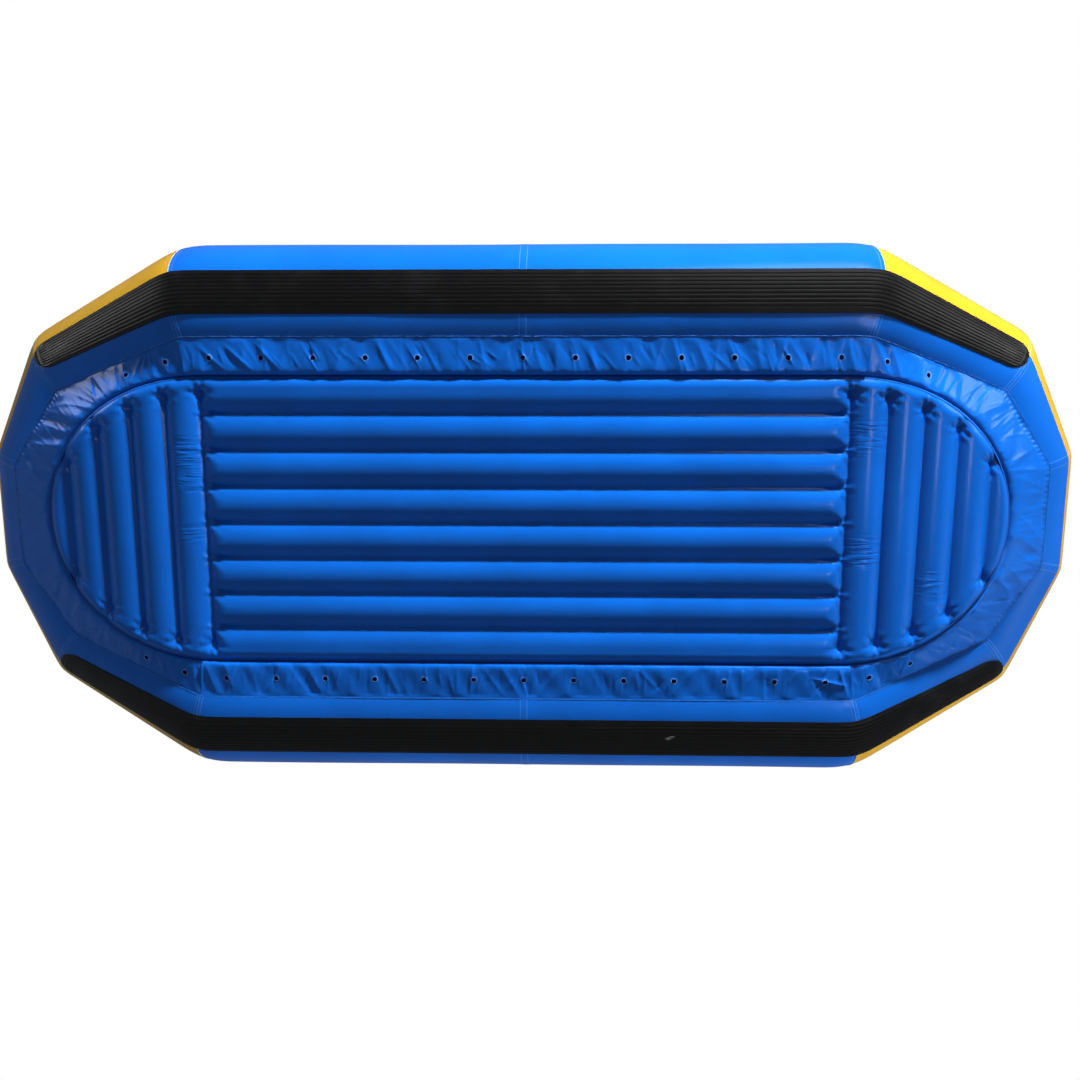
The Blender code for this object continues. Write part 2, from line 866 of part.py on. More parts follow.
def thwart_frame(ahead):
    turn = math.radians(thwart_valve_angle)
    outward = Vector((-ahead * math.sin(turn), 0, math.cos(turn)))
    across = Vector((0, 1, 0))
    centre = Vector((ahead * thwart_x, thwart_valve_y, thwart_axis_height))
    return placed(outward.cross(across) * -1, across, outward, centre + thwart_radius * outward)


def valve_hole(target, name, frame):
    """The round hole in a skin through which a valve's barrel passes."""
    radius = barrel_radius + gap
    profile = [(0, -cut_overrun), (radius, -cut_overrun), (radius, cut_overrun), (0, cut_overrun)]
    cutter = helper(turned(name + "_hole", profile, valve_facets, None, frame))
    boolean(target, cutter, "DIFFERENCE")


def valve(name, frame, looks):
    """An inflation valve: flanged body with a guide plate, spring-loaded poppet and a quarter-turn cap."""
    top = gap + flange_thickness
    guide_top = -guide_depth
    guide_low = guide_top - guide_thickness
    hub = stem_radius + stem_clearance
    body = turned(
        name + "_body",
        [
            (flange_radius, gap),
            (flange_radius, top),
            (bore_radius, top),
            (bore_radius, guide_top),
            (hub, guide_top),
            (hub, guide_low),
            (bore_radius, guide_low),
            (bore_radius, -barrel_depth),
            (barrel_radius, -barrel_depth),
            (barrel_radius, gap),
        ],
        valve_facets,
        looks["valve"],
        frame,
    )
    for number in range(vent_count):
        angle = math.tau * number / vent_count
        reach = (hub + bore_radius) / 2
        spot = frame @ Matrix.Translation((reach * math.cos(angle), reach * math.sin(angle), 0))
        low = guide_low - guide_thickness
        high = guide_top + guide_thickness
        profile = [(0, low), (vent_radius, low), (vent_radius, high), (0, high)]
        vent = helper(turned(f"{name}_vent_{number}", profile, vent_facets, None, spot))
        boolean(body, vent, "DIFFERENCE", "MANIFOLD")
    seat = -barrel_depth - gap
    button_low = guide_top + poppet_travel + gap
    turned(
        name + "_poppet",
        [
            (0, seat - poppet_thickness),
            (poppet_radius, seat - poppet_thickness),
            (poppet_radius, seat),
            (stem_radius, seat),
            (stem_radius, button_low),
            (button_radius, button_low),
            (button_radius, button_low + button_height),
            (0, button_low + button_height),
        ],
        poppet_facets,
        looks["poppet"],
        frame,
    )
    plug = bore_radius - stem_clearance
    under = top + gap
    cap = turned(
        name + "_cap",
        [
            (0, top - cap_plug_depth),
            (plug, top - cap_plug_depth),
            (plug, under),
            (cap_radius, under),
            (cap_radius, under + cap_height - cap_rim),
            (cap_radius - cap_rim, under + cap_height),
            (0, under + cap_height),
        ],
        cap_facets,
        looks["valve"],
        frame,
    )
    boolean(cap, grip_bar(name + "_grip", frame, under + cap_height), "UNION")
    return body


def grip_bar(name, frame, height):
    """The raised bar on a cap, for turning it with finger and thumb."""
    half = cap_radius - 2 * cap_rim
    low = height - cap_rim
    high = height + grip_height
    points = []
    for x in (-half, half):
        for y, z in ((-1, low), (1, low), (1, high), (-1, high)):
            points.append(Vector((x, y * grip_width / 2, z)))
    faces = [(0, 1, 2, 3), (4, 5, 6, 7)] + grid_faces(2, 4, 0, wrap=True)
    made = helper(mesh_object(name, points, faces, None))
    made.matrix_world = frame
    return made


def relief_valve(name, frame, look):
    """The floor's pressure relief valve: a flange with a slotted dome over it."""
    top = gap + flange_thickness
    dome = []
    for angle in map(math.radians, relief_dome_angles):
        dome.append((relief_radius * math.cos(angle), top + relief_height * math.sin(angle)))
    body = turned(
        name,
        [
            (0, -barrel_depth),
            (barrel_radius, -barrel_depth),
            (barrel_radius, gap),
            (flange_radius, gap),
            (flange_radius, top),
            (relief_radius, top),
            *dome,
            (0, top + relief_height),
        ],
        valve_facets,
        look,
        frame,
    )
    half = relief_slot_width / 2
    low = top + relief_height - relief_slot_depth
    high = top + relief_height + cut_overrun
    for number, turn in enumerate((0, 90)):
        spin = Matrix.Rotation(math.radians(turn), 4, "Z")
        points = []
        for x in (-flange_radius, flange_radius):
            for y, z in ((-half, low), (half, low), (half, high), (-half, high)):
                points.append(Vector((x, y, z)))
        faces = [(0, 1, 2, 3), (4, 5, 6, 7)] + grid_faces(2, 4, 0, wrap=True)
        slot = helper(mesh_object(f"{name}_slot_{number}", points, faces, None))
        slot.matrix_world = frame @ spin
        boolean(body, slot, "DIFFERENCE")
    return body


def floor_frame(x, y):
    """A frame on the crown of a floor chamber, Z up."""
    height = floor_mid + floor_rise(x) + half_floor
    return Matrix.Translation((x, y, height))


def ring_patch(name, x, port):
    """A fabric patch over two of the tube's facets, parallel to them, for the keeper of a D-ring."""
    facet = 360.0 / tube_facets
    rows = []
    for radius in (tube_radius - skin / 2, tube_radius + patch_thickness):
        ridges = []
        for turn in (-facet, 0.0, facet):
            angle = math.radians(ring_angle + turn)
            y = port * (axis_half_beam + radius * math.cos(angle))
            ridges.append(Vector((x, y, axis_height - radius * math.sin(angle))))
        middle = ridges[1]
        edges = (middle.lerp(ridges[0], patch_facet_share), middle.lerp(ridges[2], patch_facet_share))
        row = []
        for place, share in ((edges[0], patch_tip_share), (middle, 1.0), (edges[1], patch_tip_share)):
            half = Vector((share * patch_half_length, 0, 0))
            row.append([place - half, place + half])
        rows.append(row)
    return helper(walled(name, rows[1], rows[0], None))


def keeper(name, frame):
    """The stiff loop of webbing that holds a D-ring's bar, as a half-round arch on the patch."""
    inner = ring_wire + keeper_clearance
    outer = inner + keeper_wall
    centre = ring_axis_lift
    arch = []
    for step in range(keeper_arc_steps + 1):
        angle = math.pi * step / keeper_arc_steps
        arch.append((outer * math.cos(angle), centre + outer * math.sin(angle)))
    profile_outer = [(outer, -skin / 2)] + arch + [(-outer, -skin / 2)]
    sides = 2 * keeper_arc_steps
    hole = []
    for step in range(sides):
        angle = math.tau * step / sides
        hole.append((inner * math.cos(angle), centre + inner * math.sin(angle)))
    block = extruded(name, profile_outer, keeper_half_length, frame)
    bore = extruded(name + "_bore", hole, keeper_half_length + ring_wire, frame)
    boolean(block, bore, "DIFFERENCE")
    return block


def extruded(name, outline, half_length, frame):
    """An outline in the frame's YZ plane, drawn out both ways along X."""
    count = len(outline)
    points = [Vector((side * half_length, y, z)) for side in (-1, 1) for y, z in outline]
    faces = grid_faces(2, count, 0, wrap=True)
    faces.append(tuple(range(count)))
    faces.append(tuple(range(count, 2 * count)))
    made = helper(mesh_object(name, points, faces, None))
    made.matrix_world = frame
    return made


def d_ring(name, frame, look):
    """A stainless D-ring with its origin on its bar, lying down the tube from there, nearly on its patch."""
    bend = ring_half_width
    route = [(-bend + ring_corner, 0.0), (0.0, 0.0), (bend - ring_corner, 0.0), (bend, ring_corner)]
    for step in range(ring_arc_steps + 1):
        angle = math.pi * step / ring_arc_steps
        route.append((bend * math.cos(angle), ring_leg + bend * math.sin(angle)))
    route.append((-bend, ring_corner))
    data = bpy.data.curves.new(name, "CURVE")
    data.dimensions = "3D"
    spline = data.splines.new("POLY")
    spline.points.add(len(route) - 1)
    for point, (x, y) in zip(spline.points, route):
        point.co = (x, y, 0, 1)
    spline.use_cyclic_u = True
    data.bevel_depth = ring_wire
    data.bevel_resolution = 1
    data.use_fill_caps = True
    made = new_object(name, data, look)
    lean = Matrix.Rotation(math.radians(ring_rest_tilt), 4, "X")
    made.matrix_world = frame @ Matrix.Translation((0, 0, ring_axis_lift)) @ lean
    return made


def carry_handle(name, ahead, look):
    """A webbing grab handle across the nose, both feet flat on one facet of the upper panel."""
    angles = upper_angles("nose")
    low, high = angles[handle_facet], angles[handle_facet + 1]
    middle = math.radians((low + high) / 2)
    level = tube_radius * math.cos(math.radians(high - low) / 2) + gap
    outward = Vector((ahead * math.cos(middle), 0, -math.sin(middle)))
    side = Vector((0, 1, 0))
    origin = Vector((ahead * nose_x, 0, axis_height + nose_rise)) + level * outward
    frame = placed(side.cross(outward), side, outward, origin)
    inner_half = handle_half_span - handle_foot
    curve = []
    for step in range(handle_arc_steps + 1):
        angle = math.pi * step / handle_arc_steps
        curve.append((-inner_half * math.cos(angle), handle_height * math.sin(angle)))
    thick = handle_thickness
    top = [(-handle_half_span, thick), (-inner_half - thick, thick)]
    top += [(y * (1 + thick / inner_half), z + thick) for y, z in curve[1:-1]]
    top += [(inner_half + thick, thick), (handle_half_span, thick)]
    bottom = [(handle_half_span, 0.0), (inner_half, 0.0)]
    bottom += [point for point in curve[-2:0:-1]]
    bottom += [(-inner_half, 0.0), (-handle_half_span, 0.0)]
    outline = top + bottom
    count = len(outline)
    half = handle_width / 2
    points = [Vector((x * half, y, z)) for x in (-1, 1) for y, z in outline]
    faces = grid_faces(2, count, 0, wrap=True)
    faces.append(tuple(range(count)))
    faces.append(tuple(range(count, 2 * count)))
    made = mesh_object(name, points, faces, look, smooth_below=30.0)
    made.matrix_world = frame
    return made


def looks_of_pieces():
    return {
        "blue": material("blue_coated_fabric", (0.01, 0.16, 0.68), 0.32),
        "yellow": material("yellow_coated_fabric", (0.95, 0.55, 0.03), 0.35),
        "inner": material("blue_inner_fabric", (0.02, 0.14, 0.5), 0.5),
        "rubber": material("black_ribbed_rubber", (0.01, 0.01, 0.011), 0.42),
        "webbing": material("black_webbing", (0.015, 0.015, 0.016), 0.7),
        "valve": material("black_valve_plastic", (0.02, 0.02, 0.022), 0.38),
        "poppet": material("grey_poppet_plastic", (0.35, 0.36, 0.37), 0.4),
        "steel": material("stainless_steel", (0.62, 0.62, 0.6), 0.22, 1.0),
    }


def build_hull(looks):
    """The tube ring: side sleeves, two panels of each colour at every quarter and nose, and diaphragms."""
    sides = {"port": (11, 1), "starboard": (5, -1)}
    sleeves = {}
    for side, (first, port) in sides.items():
        sleeve = side_tube(f"{side}_side_tube", first, looks["blue"])
        sleeves[port] = sleeve
        middle = Vector((0, port * axis_half_beam, axis_height))
        out = Vector((0, port, 0))
        diaphragm(f"{side}_diaphragm", middle, out, Vector((1, 0, 0)), tube_angles(), looks["inner"])
        wear_strip(f"{side}_wear_strip", first, looks["rubber"])
    for end, first, ahead in (("bow", 0, 1), ("stern", 6, -1)):
        near, far = ("port", "starboard") if ahead > 0 else ("starboard", "port")
        runs = (
            (f"{end}_{near}_quarter", first, first + 1),
            (f"{end}_nose", first + 1, first + 4),
            (f"{end}_{far}_quarter", first + 4, first + 5),
        )
        for name, start, stop in runs:
            panel(name + "_upper_panel", start, stop, upper_angles, looks["yellow"])
            panel(name + "_lower_panel", start, stop, lower_angles, looks["blue"])
        middle = Vector((ahead * nose_x, 0, axis_height + nose_rise))
        out = Vector((ahead, 0, 0))
        rim = upper_angles("nose") + lower_angles("nose")
        diaphragm(f"{end}_diaphragm", middle, out, Vector((0, 1, 0)), rim, looks["inner"])
        carry_handle(f"{end}_carry_handle", ahead, looks["webbing"])
    return sleeves


def build_floor(looks):
    lower = floor_skin("floor_lower_skin", -1, looks["blue"])
    boolean(lower, floor_webs("floor_webs"), "UNION")
    upper = floor_skin("floor_upper_skin", 1, looks["blue"])
    crown = beam_pitch / 2
    frame = floor_frame(floor_valve_x, crown)
    valve_hole(upper, "floor_valve", frame)
    valve("floor_valve", frame, looks)
    frame = floor_frame(floor_valve_x, -crown)
    valve_hole(upper, "floor_relief_valve", frame)
    relief_valve("floor_relief_valve", frame, looks["valve"])


def build_aprons(looks):
    side_xs, bow_xs = drain_xs()
    for side, first in (("port", 11), ("starboard", 5)):
        flap = apron(f"{side}_apron", first, first + 1, looks["blue"])
        boolean(flap, drain_cutter(f"{side}_drains", drain_places(first, side_xs)), "DIFFERENCE", "MANIFOLD")
    for end, first, ahead in (("bow", 0, 1), ("stern", 6, -1)):
        flap = apron(f"{end}_apron", first, first + 5, looks["blue"])
        end_xs = [ahead * x for x in bow_xs]
        places = drain_places(first, end_xs) + drain_places(first + 4, end_xs)
        boolean(flap, drain_cutter(f"{end}_drains", places), "DIFFERENCE", "MANIFOLD")


def build_fittings(sleeves, looks):
    """Valves and D-rings on the side tubes, and the thwarts with theirs."""
    for side, port in (("port", 1), ("starboard", -1)):
        for end, ahead in (("bow", 1), ("stern", -1)):
            name = f"{end}_{side}_valve"
            frame = tube_frame(ahead * side_valve_x, port, side_valve_angle)
            valve_hole(sleeves[port], name, frame)
            valve(name, frame, looks)
        for place, ahead in (("aft", -1), ("middle", 0), ("forward", 1)):
            x = ahead * ring_pitch
            name = f"{place}_{side}_d_ring"
            frame = tube_frame(x, port, ring_angle)
            boolean(sleeves[port], ring_patch(name + "_patch", x, port), "UNION")
            boolean(sleeves[port], keeper(name + "_keeper", frame), "UNION")
            d_ring(name, frame, looks["steel"])
    for end, ahead in (("bow", 1), ("stern", -1)):
        name = f"{end}_thwart"
        cross = thwart(name, ahead, looks["blue"])
        frame = thwart_frame(ahead)
        valve_hole(cross, name + "_valve", frame)
        valve(name + "_valve", frame, looks)


def main():
    clear_scene()
    looks = looks_of_pieces()
    sleeves = build_hull(looks)
    build_floor(looks)
    build_aprons(looks)
    build_fittings(sleeves, looks)


main()
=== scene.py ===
import math
import random

import bpy
import numpy as np
from mathutils import Matrix, Vector


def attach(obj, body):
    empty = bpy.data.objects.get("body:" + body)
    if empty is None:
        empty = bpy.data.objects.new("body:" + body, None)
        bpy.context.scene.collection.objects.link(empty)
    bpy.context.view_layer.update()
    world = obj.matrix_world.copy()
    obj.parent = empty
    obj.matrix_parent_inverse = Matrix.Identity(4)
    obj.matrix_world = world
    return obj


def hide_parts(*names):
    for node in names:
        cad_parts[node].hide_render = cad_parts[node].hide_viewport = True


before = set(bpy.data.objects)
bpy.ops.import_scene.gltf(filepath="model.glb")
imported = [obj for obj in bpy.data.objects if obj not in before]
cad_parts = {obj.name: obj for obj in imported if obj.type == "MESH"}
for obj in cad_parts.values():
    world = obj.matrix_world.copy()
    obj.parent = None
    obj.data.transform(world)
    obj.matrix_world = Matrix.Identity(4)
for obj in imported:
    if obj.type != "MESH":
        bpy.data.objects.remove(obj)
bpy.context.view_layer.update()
bpy.ops.object.select_all(action="DESELECT")
print("frame loaded:", len(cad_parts), "nodes")

up = np.array((0.0, 0.0, 1.0))

# Sizes of the hull, as the CAD source has them
hull = {
    "radius": 0.28,
    "axisHeight": 0.2834,
    "quarter": (1.245, 0.77, 0.0),
    "shoulder": (1.795, 0.525, 0.19),
    "nose": (1.96, 0.186, 0.22),
    "softening": (0.110, 0.050, 0.045),  # how far from each mitre the taut tube starts to turn
    "crispShare": 0.22,  # how much of that is left where the tube is pressed in
    "softSamples": 9,
    "skin": 0.0012,
}

# Angles round the tube at quarter, shoulder and nose: 0 faces outwards, 90 is the lowest line
lines = {
    "inner": (-155.0, -155.0, -155.0),
    "colour": (68.0, 47.0, 40.8),
    "weld": (108.6, 91.0, 72.0),
    "stripLow": (87.9, 67.4, 57.0),
    "stripHigh": (53.2, 39.3, 33.0),
}


# The tube ring: where every seam and panel lies

def unit(vectors):
    return vectors / np.linalg.norm(vectors, axis=-1, keepdims=True)


cornerKinds = np.array([0, 1, 2, 2, 1, 0] * 2)
tubeCount = len(cornerKinds)
cornerSigns = [(1, 1)] * 3 + [(1, -1)] * 3 + [(-1, -1)] * 3 + [(-1, 1)] * 3
kindPlaces = [hull["quarter"], hull["shoulder"], hull["nose"]]
cornerPlaces = np.array([
    (ahead * kindPlaces[kind][0], port * kindPlaces[kind][1], hull["axisHeight"] + kindPlaces[kind][2])
    for kind, (ahead, port) in zip(cornerKinds, cornerSigns)
])
leaving = unit(np.roll(cornerPlaces, -1, axis=0) - cornerPlaces)
arriving = np.roll(leaving, 1, axis=0)
mitreNormals = unit(arriving + leaving)
mitreOut = unit(np.cross(up, mitreNormals))
mitreDown = np.cross(mitreOut, mitreNormals)
tubeOut = unit(np.cross(up, leaving))
tubeDown = np.cross(tubeOut, leaving)
lengths = np.linalg.norm(np.roll(cornerPlaces, -1, axis=0) - cornerPlaces, axis=1)
starts = np.concatenate([[0.0], np.cumsum(lengths)[:-1]])
ringLength = lengths.sum()


def mixed(a, b, share):
    return a + (b - a) * share


def smoothStep(low, high, value):
    share = np.clip((value - low) / (high - low), 0, 1)
    return share * share * (3 - 2 * share)


def between(value, low, full, stillFull, high):
    # 1 from full to stillFull, 0 outside low and high, and smooth between
    return smoothStep(low, full, value) * smoothStep(high, stillFull, value)


def sectionAngle(corner, angle, tube):
    # angles on a mitre's outline, as the square section of one of its tubes has them
    turn = np.radians(angle)[..., None]
    ray = np.cos(turn) * mitreOut[corner][:, None] + np.sin(turn) * mitreDown[corner][:, None]
    across = (ray * tubeDown[tube][:, None]).sum(-1)
    beside = (ray * tubeOut[tube][:, None]).sum(-1)
    turned = np.degrees(np.arctan2(across, beside)) - angle
    return angle + (turned + 180) % 360 - 180


def ruled(corner, tube, ray, reach):
    # where the tube's own straight lines end on a mitre
    along = leaving[tube][:, None]
    normal = mitreNormals[corner][:, None]
    slide = -reach * (ray * normal).sum(-1) / (along * normal).sum(-1)
    return cornerPlaces[corner][:, None] + reach[..., None] * ray + slide[..., None] * along


def hardRing(metres, line, lift, turnBy):
    metres = np.mod(metres, ringLength)
    tube = np.clip(np.searchsorted(starts, metres, side="right") - 1, 0, tubeCount - 1)
    share = ((metres - starts[tube]) / lengths[tube])[:, None]
    beyond = (tube + 1) % tubeCount
    first = sectionAngle(tube, line[cornerKinds[tube]], tube)
    last = sectionAngle(beyond, line[cornerKinds[beyond]], tube)
    turn = np.radians(mixed(first, last, share) + turnBy)[..., None]
    ray = np.cos(turn) * tubeOut[tube][:, None] + np.sin(turn) * tubeDown[tube][:, None]
    reach = hull["radius"] + lift + np.zeros(ray.shape[:2])
    near = ruled(tube, tube, ray, reach)
    far = ruled(beyond, tube, ray, reach)
    return mixed(near, far, share[..., None])


def softRing(metres, line, lift=0.0, turnBy=0.0, scale=1.0):
    # points on the tube for places along the ring and lines round it; the outer side of a mitre is rounded
    line = np.asarray(line, float)
    metres = np.asarray(metres, float)
    if line.ndim == 1:
        line = line[:, None]
    softness = np.array(hull["softening"])[cornerKinds]
    shift = ringLength / (2 * tubeCount)  # the end of the last tube counts with the first mitre
    wrapped = np.mod(metres + shift, ringLength) - shift
    nearest = np.abs(wrapped[:, None] - starts[None]).argmin(axis=1)
    reach = softness[nearest] * scale
    offsets = np.linspace(-1, 1, hull["softSamples"])
    weights = 1.05 - np.abs(offsets)
    weights /= weights.sum()
    gentle, crisp = 0, 0
    for offset, weight in zip(offsets, weights):
        gentle = gentle + weight * hardRing(metres + offset * reach, line, lift, turnBy)
        crisp = crisp + weight * hardRing(metres + offset * reach * hull["crispShare"], line, lift, turnBy)
    angles = np.abs(line.mean(axis=0))
    share = np.where(line.mean(axis=0) > 0, smoothStep(78, 100, angles), smoothStep(60, 110, angles))
    return mixed(gentle, crisp, share[None, :, None])


def panelLines(shares):
    # lines round the tube for shares from 0 at the inner seam, over 1 at the colour seam, to 2 at the inner
    # seam again
    shares = np.asarray(shares, float)
    table = np.empty((3, len(shares)))
    for kind in range(3):
        colour = lines["colour"][kind]
        inner = lines["inner"][kind]
        table[kind] = np.where(
            shares <= 1,
            mixed(inner, colour, np.minimum(shares, 1)),
            mixed(colour, inner + 360, np.maximum(shares - 1, 0)),
        )
    return table


def seamDistance(metres):
    metres = np.mod(metres, ringLength)
    away = np.abs(metres[:, None] - np.append(starts, ringLength)[None])
    return away.min(axis=1)


def ringStops(first, last, step, fine=0.0045, near=0.05):
    # places along the ring from mitre to mitre, closer together beside the mitres
    begin = starts[first % tubeCount]
    stop = begin + sum(lengths[tube % tubeCount] for tube in range(first, last))
    stops = [begin]
    while stops[-1] < stop - 1e-6:
        away = seamDistance(np.array([stops[-1]]))[0]
        stops.append(stops[-1] + mixed(fine, step, float(smoothStep(0.01, near, away))))
    stops = np.array(stops)
    return begin + (stops - begin) * (stop - begin) / (stops[-1] - begin)


# Shader nodes

class Wire:
    # a shader value. Sums of wires and numbers add Math nodes

    def __init__(self, look, socket):
        self.look = look
        self.socket = socket

    def maths(self, operation, *others):
        return self.look.node("ShaderNodeMath", {"operation": operation}, dict(enumerate((self, *others))))

    def __add__(self, other):
        return self.maths("ADD", other)

    def __sub__(self, other):
        return self.maths("SUBTRACT", other)

    def __rsub__(self, other):
        return self.look.node("ShaderNodeMath", {"operation": "SUBTRACT"}, {0: other, 1: self})

    def __mul__(self, other):
        return self.maths("MULTIPLY", other)

    __radd__ = __add__
    __rmul__ = __mul__

    def __abs__(self):
        return self.maths("ABSOLUTE")

    def atLeast(self, other):
        return self.maths("MAXIMUM", other)

    def wave(self):
        return self.maths("SINE")

    def eased(self, low, high):
        # 0 below low, 1 above high and smooth between them; low may be the greater one
        values = {"Value": self, "From Min": low, "From Max": high}
        return self.look.node("ShaderNodeMapRange", {"interpolation_type": "SMOOTHSTEP"}, values)


class Look:
    # a material with its nodes

    def __init__(self, name, **values):
        self.material = bpy.data.materials.new(name)
        self.material.use_nodes = True
        self.tree = self.material.node_tree
        self.shader = self.tree.nodes["Principled BSDF"]
        self.paint(**values)

    def give(self, socket, value):
        if isinstance(value, Wire):
            self.tree.links.new(value.socket, socket)
        elif isinstance(value, (tuple, list)) and len(value) == 3 and socket.type == "RGBA":
            socket.default_value = (*value, 1)
        else:
            socket.default_value = value

    def node(self, kind, settings=None, values=None, out=0):
        made = self.tree.nodes.new(kind)
        for name, value in (settings or {}).items():
            setattr(made, name, value)
        for socket, value in (values or {}).items():
            self.give(made.inputs[socket], value)
        return Wire(self, made.outputs[out])

    def paint(self, **values):
        for socket, value in values.items():
            self.give(self.shader.inputs[socket.replace("_", " ")], value)

    def place(self):
        return self.node("ShaderNodeTexCoord", out="Object")

    def flat(self):
        return self.node("ShaderNodeUVMap", {"uv_map": "flat"})

    def parts(self, vector):
        made = self.node("ShaderNodeSeparateXYZ", values={0: vector})
        return [Wire(self, socket) for socket in made.socket.node.outputs]

    def noise(self, vector, scale, detail=3.0, roughness=0.5):
        values = {"Vector": vector, "Scale": scale, "Detail": detail, "Roughness": roughness}
        return self.node("ShaderNodeTexNoise", {"noise_dimensions": "3D"}, values)

    def stretched(self, vector, scale):
        return self.node("ShaderNodeMapping", values={"Vector": vector, "Scale": scale})

    def blended(self, share, first, second):
        values = {0: share, 6: first, 7: second}
        return self.node("ShaderNodeMix", {"data_type": "RGBA"}, values, out=2)

    def value(self, name):
        return self.node("ShaderNodeAttribute", {"attribute_name": name}, out="Fac")

    def bump(self, height, distance, strength=1.0):
        values = {"Height": height, "Distance": distance, "Strength": strength}
        self.give(self.shader.inputs["Normal"], self.node("ShaderNodeBump", values=values))


def shaded(colour, share):
    return tuple(part * share for part in colour)


def pleated(look, place, stretch, field):
    # fine pleats that run one way, as strong as the field says
    grain = look.noise(look.stretched(place, stretch), 1.0, 2, 0.5)
    return abs(grain - 0.5).eased(0.0, 0.16) * look.value(field)


def coatedFabric(name, colour, seamColour, scuff, joinShare=0.26):
    # welded PVC on a woven scrim: glossy, a little uneven, with fine weld lines and pleats, and with painted
    # shade along creases and seam grooves
    look = Look(name, Specular_IOR_Level=0.34, Coat_Roughness=0.07, Coat_IOR=1.45)
    place = look.place()
    u, v, _ = look.parts(look.flat())
    cloudy = look.noise(place, 2.6, 3)
    patchy = look.noise(place, 17.0, 4, 0.6)
    tone = look.blended(cloudy.eased(0.35, 0.7), shaded(colour, 0.86), colour)
    tone = look.blended(patchy.eased(0.55, 0.8) * 0.25, tone, shaded(colour, 1.15))
    rubbed = look.noise(look.stretched(place, (7.0, 30.0, 30.0)), 3.0, 5, 0.7)
    marks = rubbed.eased(0.66, 0.74) * look.noise(place, 1.7, 2).eased(0.5, 0.72)
    tone = look.blended(marks * scuff, tone, seamColour)
    away = look.value("seam")
    tapeEdge = abs(away - 0.0125).eased(0.0016, 0.0007)
    join = away.eased(0.0018, 0.0010)
    fold = look.value("edge").eased(0.0019, 0.0009)
    tone = look.blended(tapeEdge.atLeast(fold) * 0.26, tone, seamColour)
    tone = look.blended(join * joinShare, tone, seamColour)
    # painted shade: the crease field darkens the colour to 30 per cent along creases, seam grooves and band
    # edges, and also sinks them in the bump
    grooveAndShade = look.value("creaseAndShade")
    tone = look.blended(grooveAndShade * 0.65, tone, shaded(colour, 0.30))
    tone = look.blended(look.value("halo") * 0.34, tone, seamColour)
    look.paint(Base_Color=tone)
    weave = (u * 2600).wave() * (v * 2600).wave()
    dimples = look.noise(place, 42.0, 3, 0.6)
    pleats = pleated(look, place, (7.0, 52.0, 7.0), "pleatX")
    pleats = pleats + pleated(look, place, (52.0, 7.0, 7.0), "pleatY")
    look.paint(Coat_Weight=0.14 - 0.1 * marks)
    look.paint(Roughness=0.18 + 0.07 * cloudy + 0.14 * marks + 0.06 * patchy)
    look.bump(0.02 * weave + 0.22 * dimples + 1.1 * patchy + 1.3 * pleats - 0.5 * grooveAndShade, 0.0011, 0.55)
    return look.material


def ribbedRubber():
    look = Look("ribbedRubberLook", Specular_IOR_Level=0.52)
    place = look.place()
    dust = look.noise(place, 9.0, 5, 0.65)
    fine = look.noise(place, 240.0, 3)
    scratches = look.noise(look.stretched(look.flat(), (5.0, 260.0, 1.0)), 1.0, 4, 0.7).eased(0.62, 0.72)
    worn = look.value("worn")
    # towards the strip's ends the grey of dust and scratches grows: partly wear, partly painted sheen standing in
    # for rib highlights
    grey = (dust.eased(0.45, 0.75) * 0.35 + scratches * 0.5) * (0.35 + worn * 0.65)
    tone = look.blended(grey, (0.0020, 0.0020, 0.0023), (0.045, 0.045, 0.047))
    tone = look.blended(look.value("scuff"), tone, (0.55, 0.55, 0.53))
    look.paint(Base_Color=tone, Roughness=0.36 + 0.20 * dust + 0.12 * scratches - 0.14 * worn)
    look.bump(0.5 * fine + 0.8 * scratches + 1.0 * dust, 0.0004, 0.55)
    return look.material


def webbing(name, colour, thread):
    # woven webbing with ribs across it and a lighter thread sewn through it
    look = Look(name, Specular_IOR_Level=0.3, Sheen_Weight=0.12, Sheen_Roughness=0.5)
    u, v, _ = look.parts(look.flat())
    ribs = abs((u * 1400).wave())
    warp = (v * 2400 + ribs * 1.2).wave()
    fuzz = look.noise(look.place(), 700.0, 3)
    tone = look.blended(ribs * 0.55 + warp * 0.15 + fuzz * 0.3, shaded(colour, 0.55), shaded(colour, 1.7))
    sewn = look.value("stitch") * ((u + v) * 1050).wave().eased(-0.2, 0.1)
    tone = look.blended(sewn, tone, thread)
    look.paint(Base_Color=tone, Roughness=0.72 + 0.15 * fuzz)
    look.bump(ribs * 0.6 + warp * 0.3 + sewn * 1.1 + fuzz * 0.2, 0.0005, 0.8)
    return look.material


def mouldedPlastic(name, colour, roughness):
    look = Look(name, Specular_IOR_Level=0.45)
    place = look.place()
    grain = look.noise(place, 420.0, 3)
    rubbed = look.noise(place, 55.0, 4, 0.7).eased(0.5, 0.8)
    look.paint(Base_Color=look.blended(rubbed * 0.5, colour, shaded(colour, 2.2)))
    look.paint(Roughness=roughness + 0.12 * rubbed + 0.06 * grain)
    look.bump(grain, 0.0002, 0.6)
    return look.material


def polishedSteel():
    look = Look("polishedSteelLook", Metallic=1.0)
    place = look.place()
    drawn = look.noise(look.stretched(place, (900.0, 90.0, 90.0)), 1.0, 4, 0.6)
    spots = look.noise(place, 130.0, 4, 0.7).eased(0.6, 0.8)
    look.paint(Base_Color=look.blended(spots * 0.4, (0.66, 0.66, 0.645), (0.36, 0.34, 0.31)))
    look.paint(Roughness=0.16 + 0.14 * drawn + 0.15 * spots)
    look.bump(drawn, 0.0001, 0.4)
    return look.material


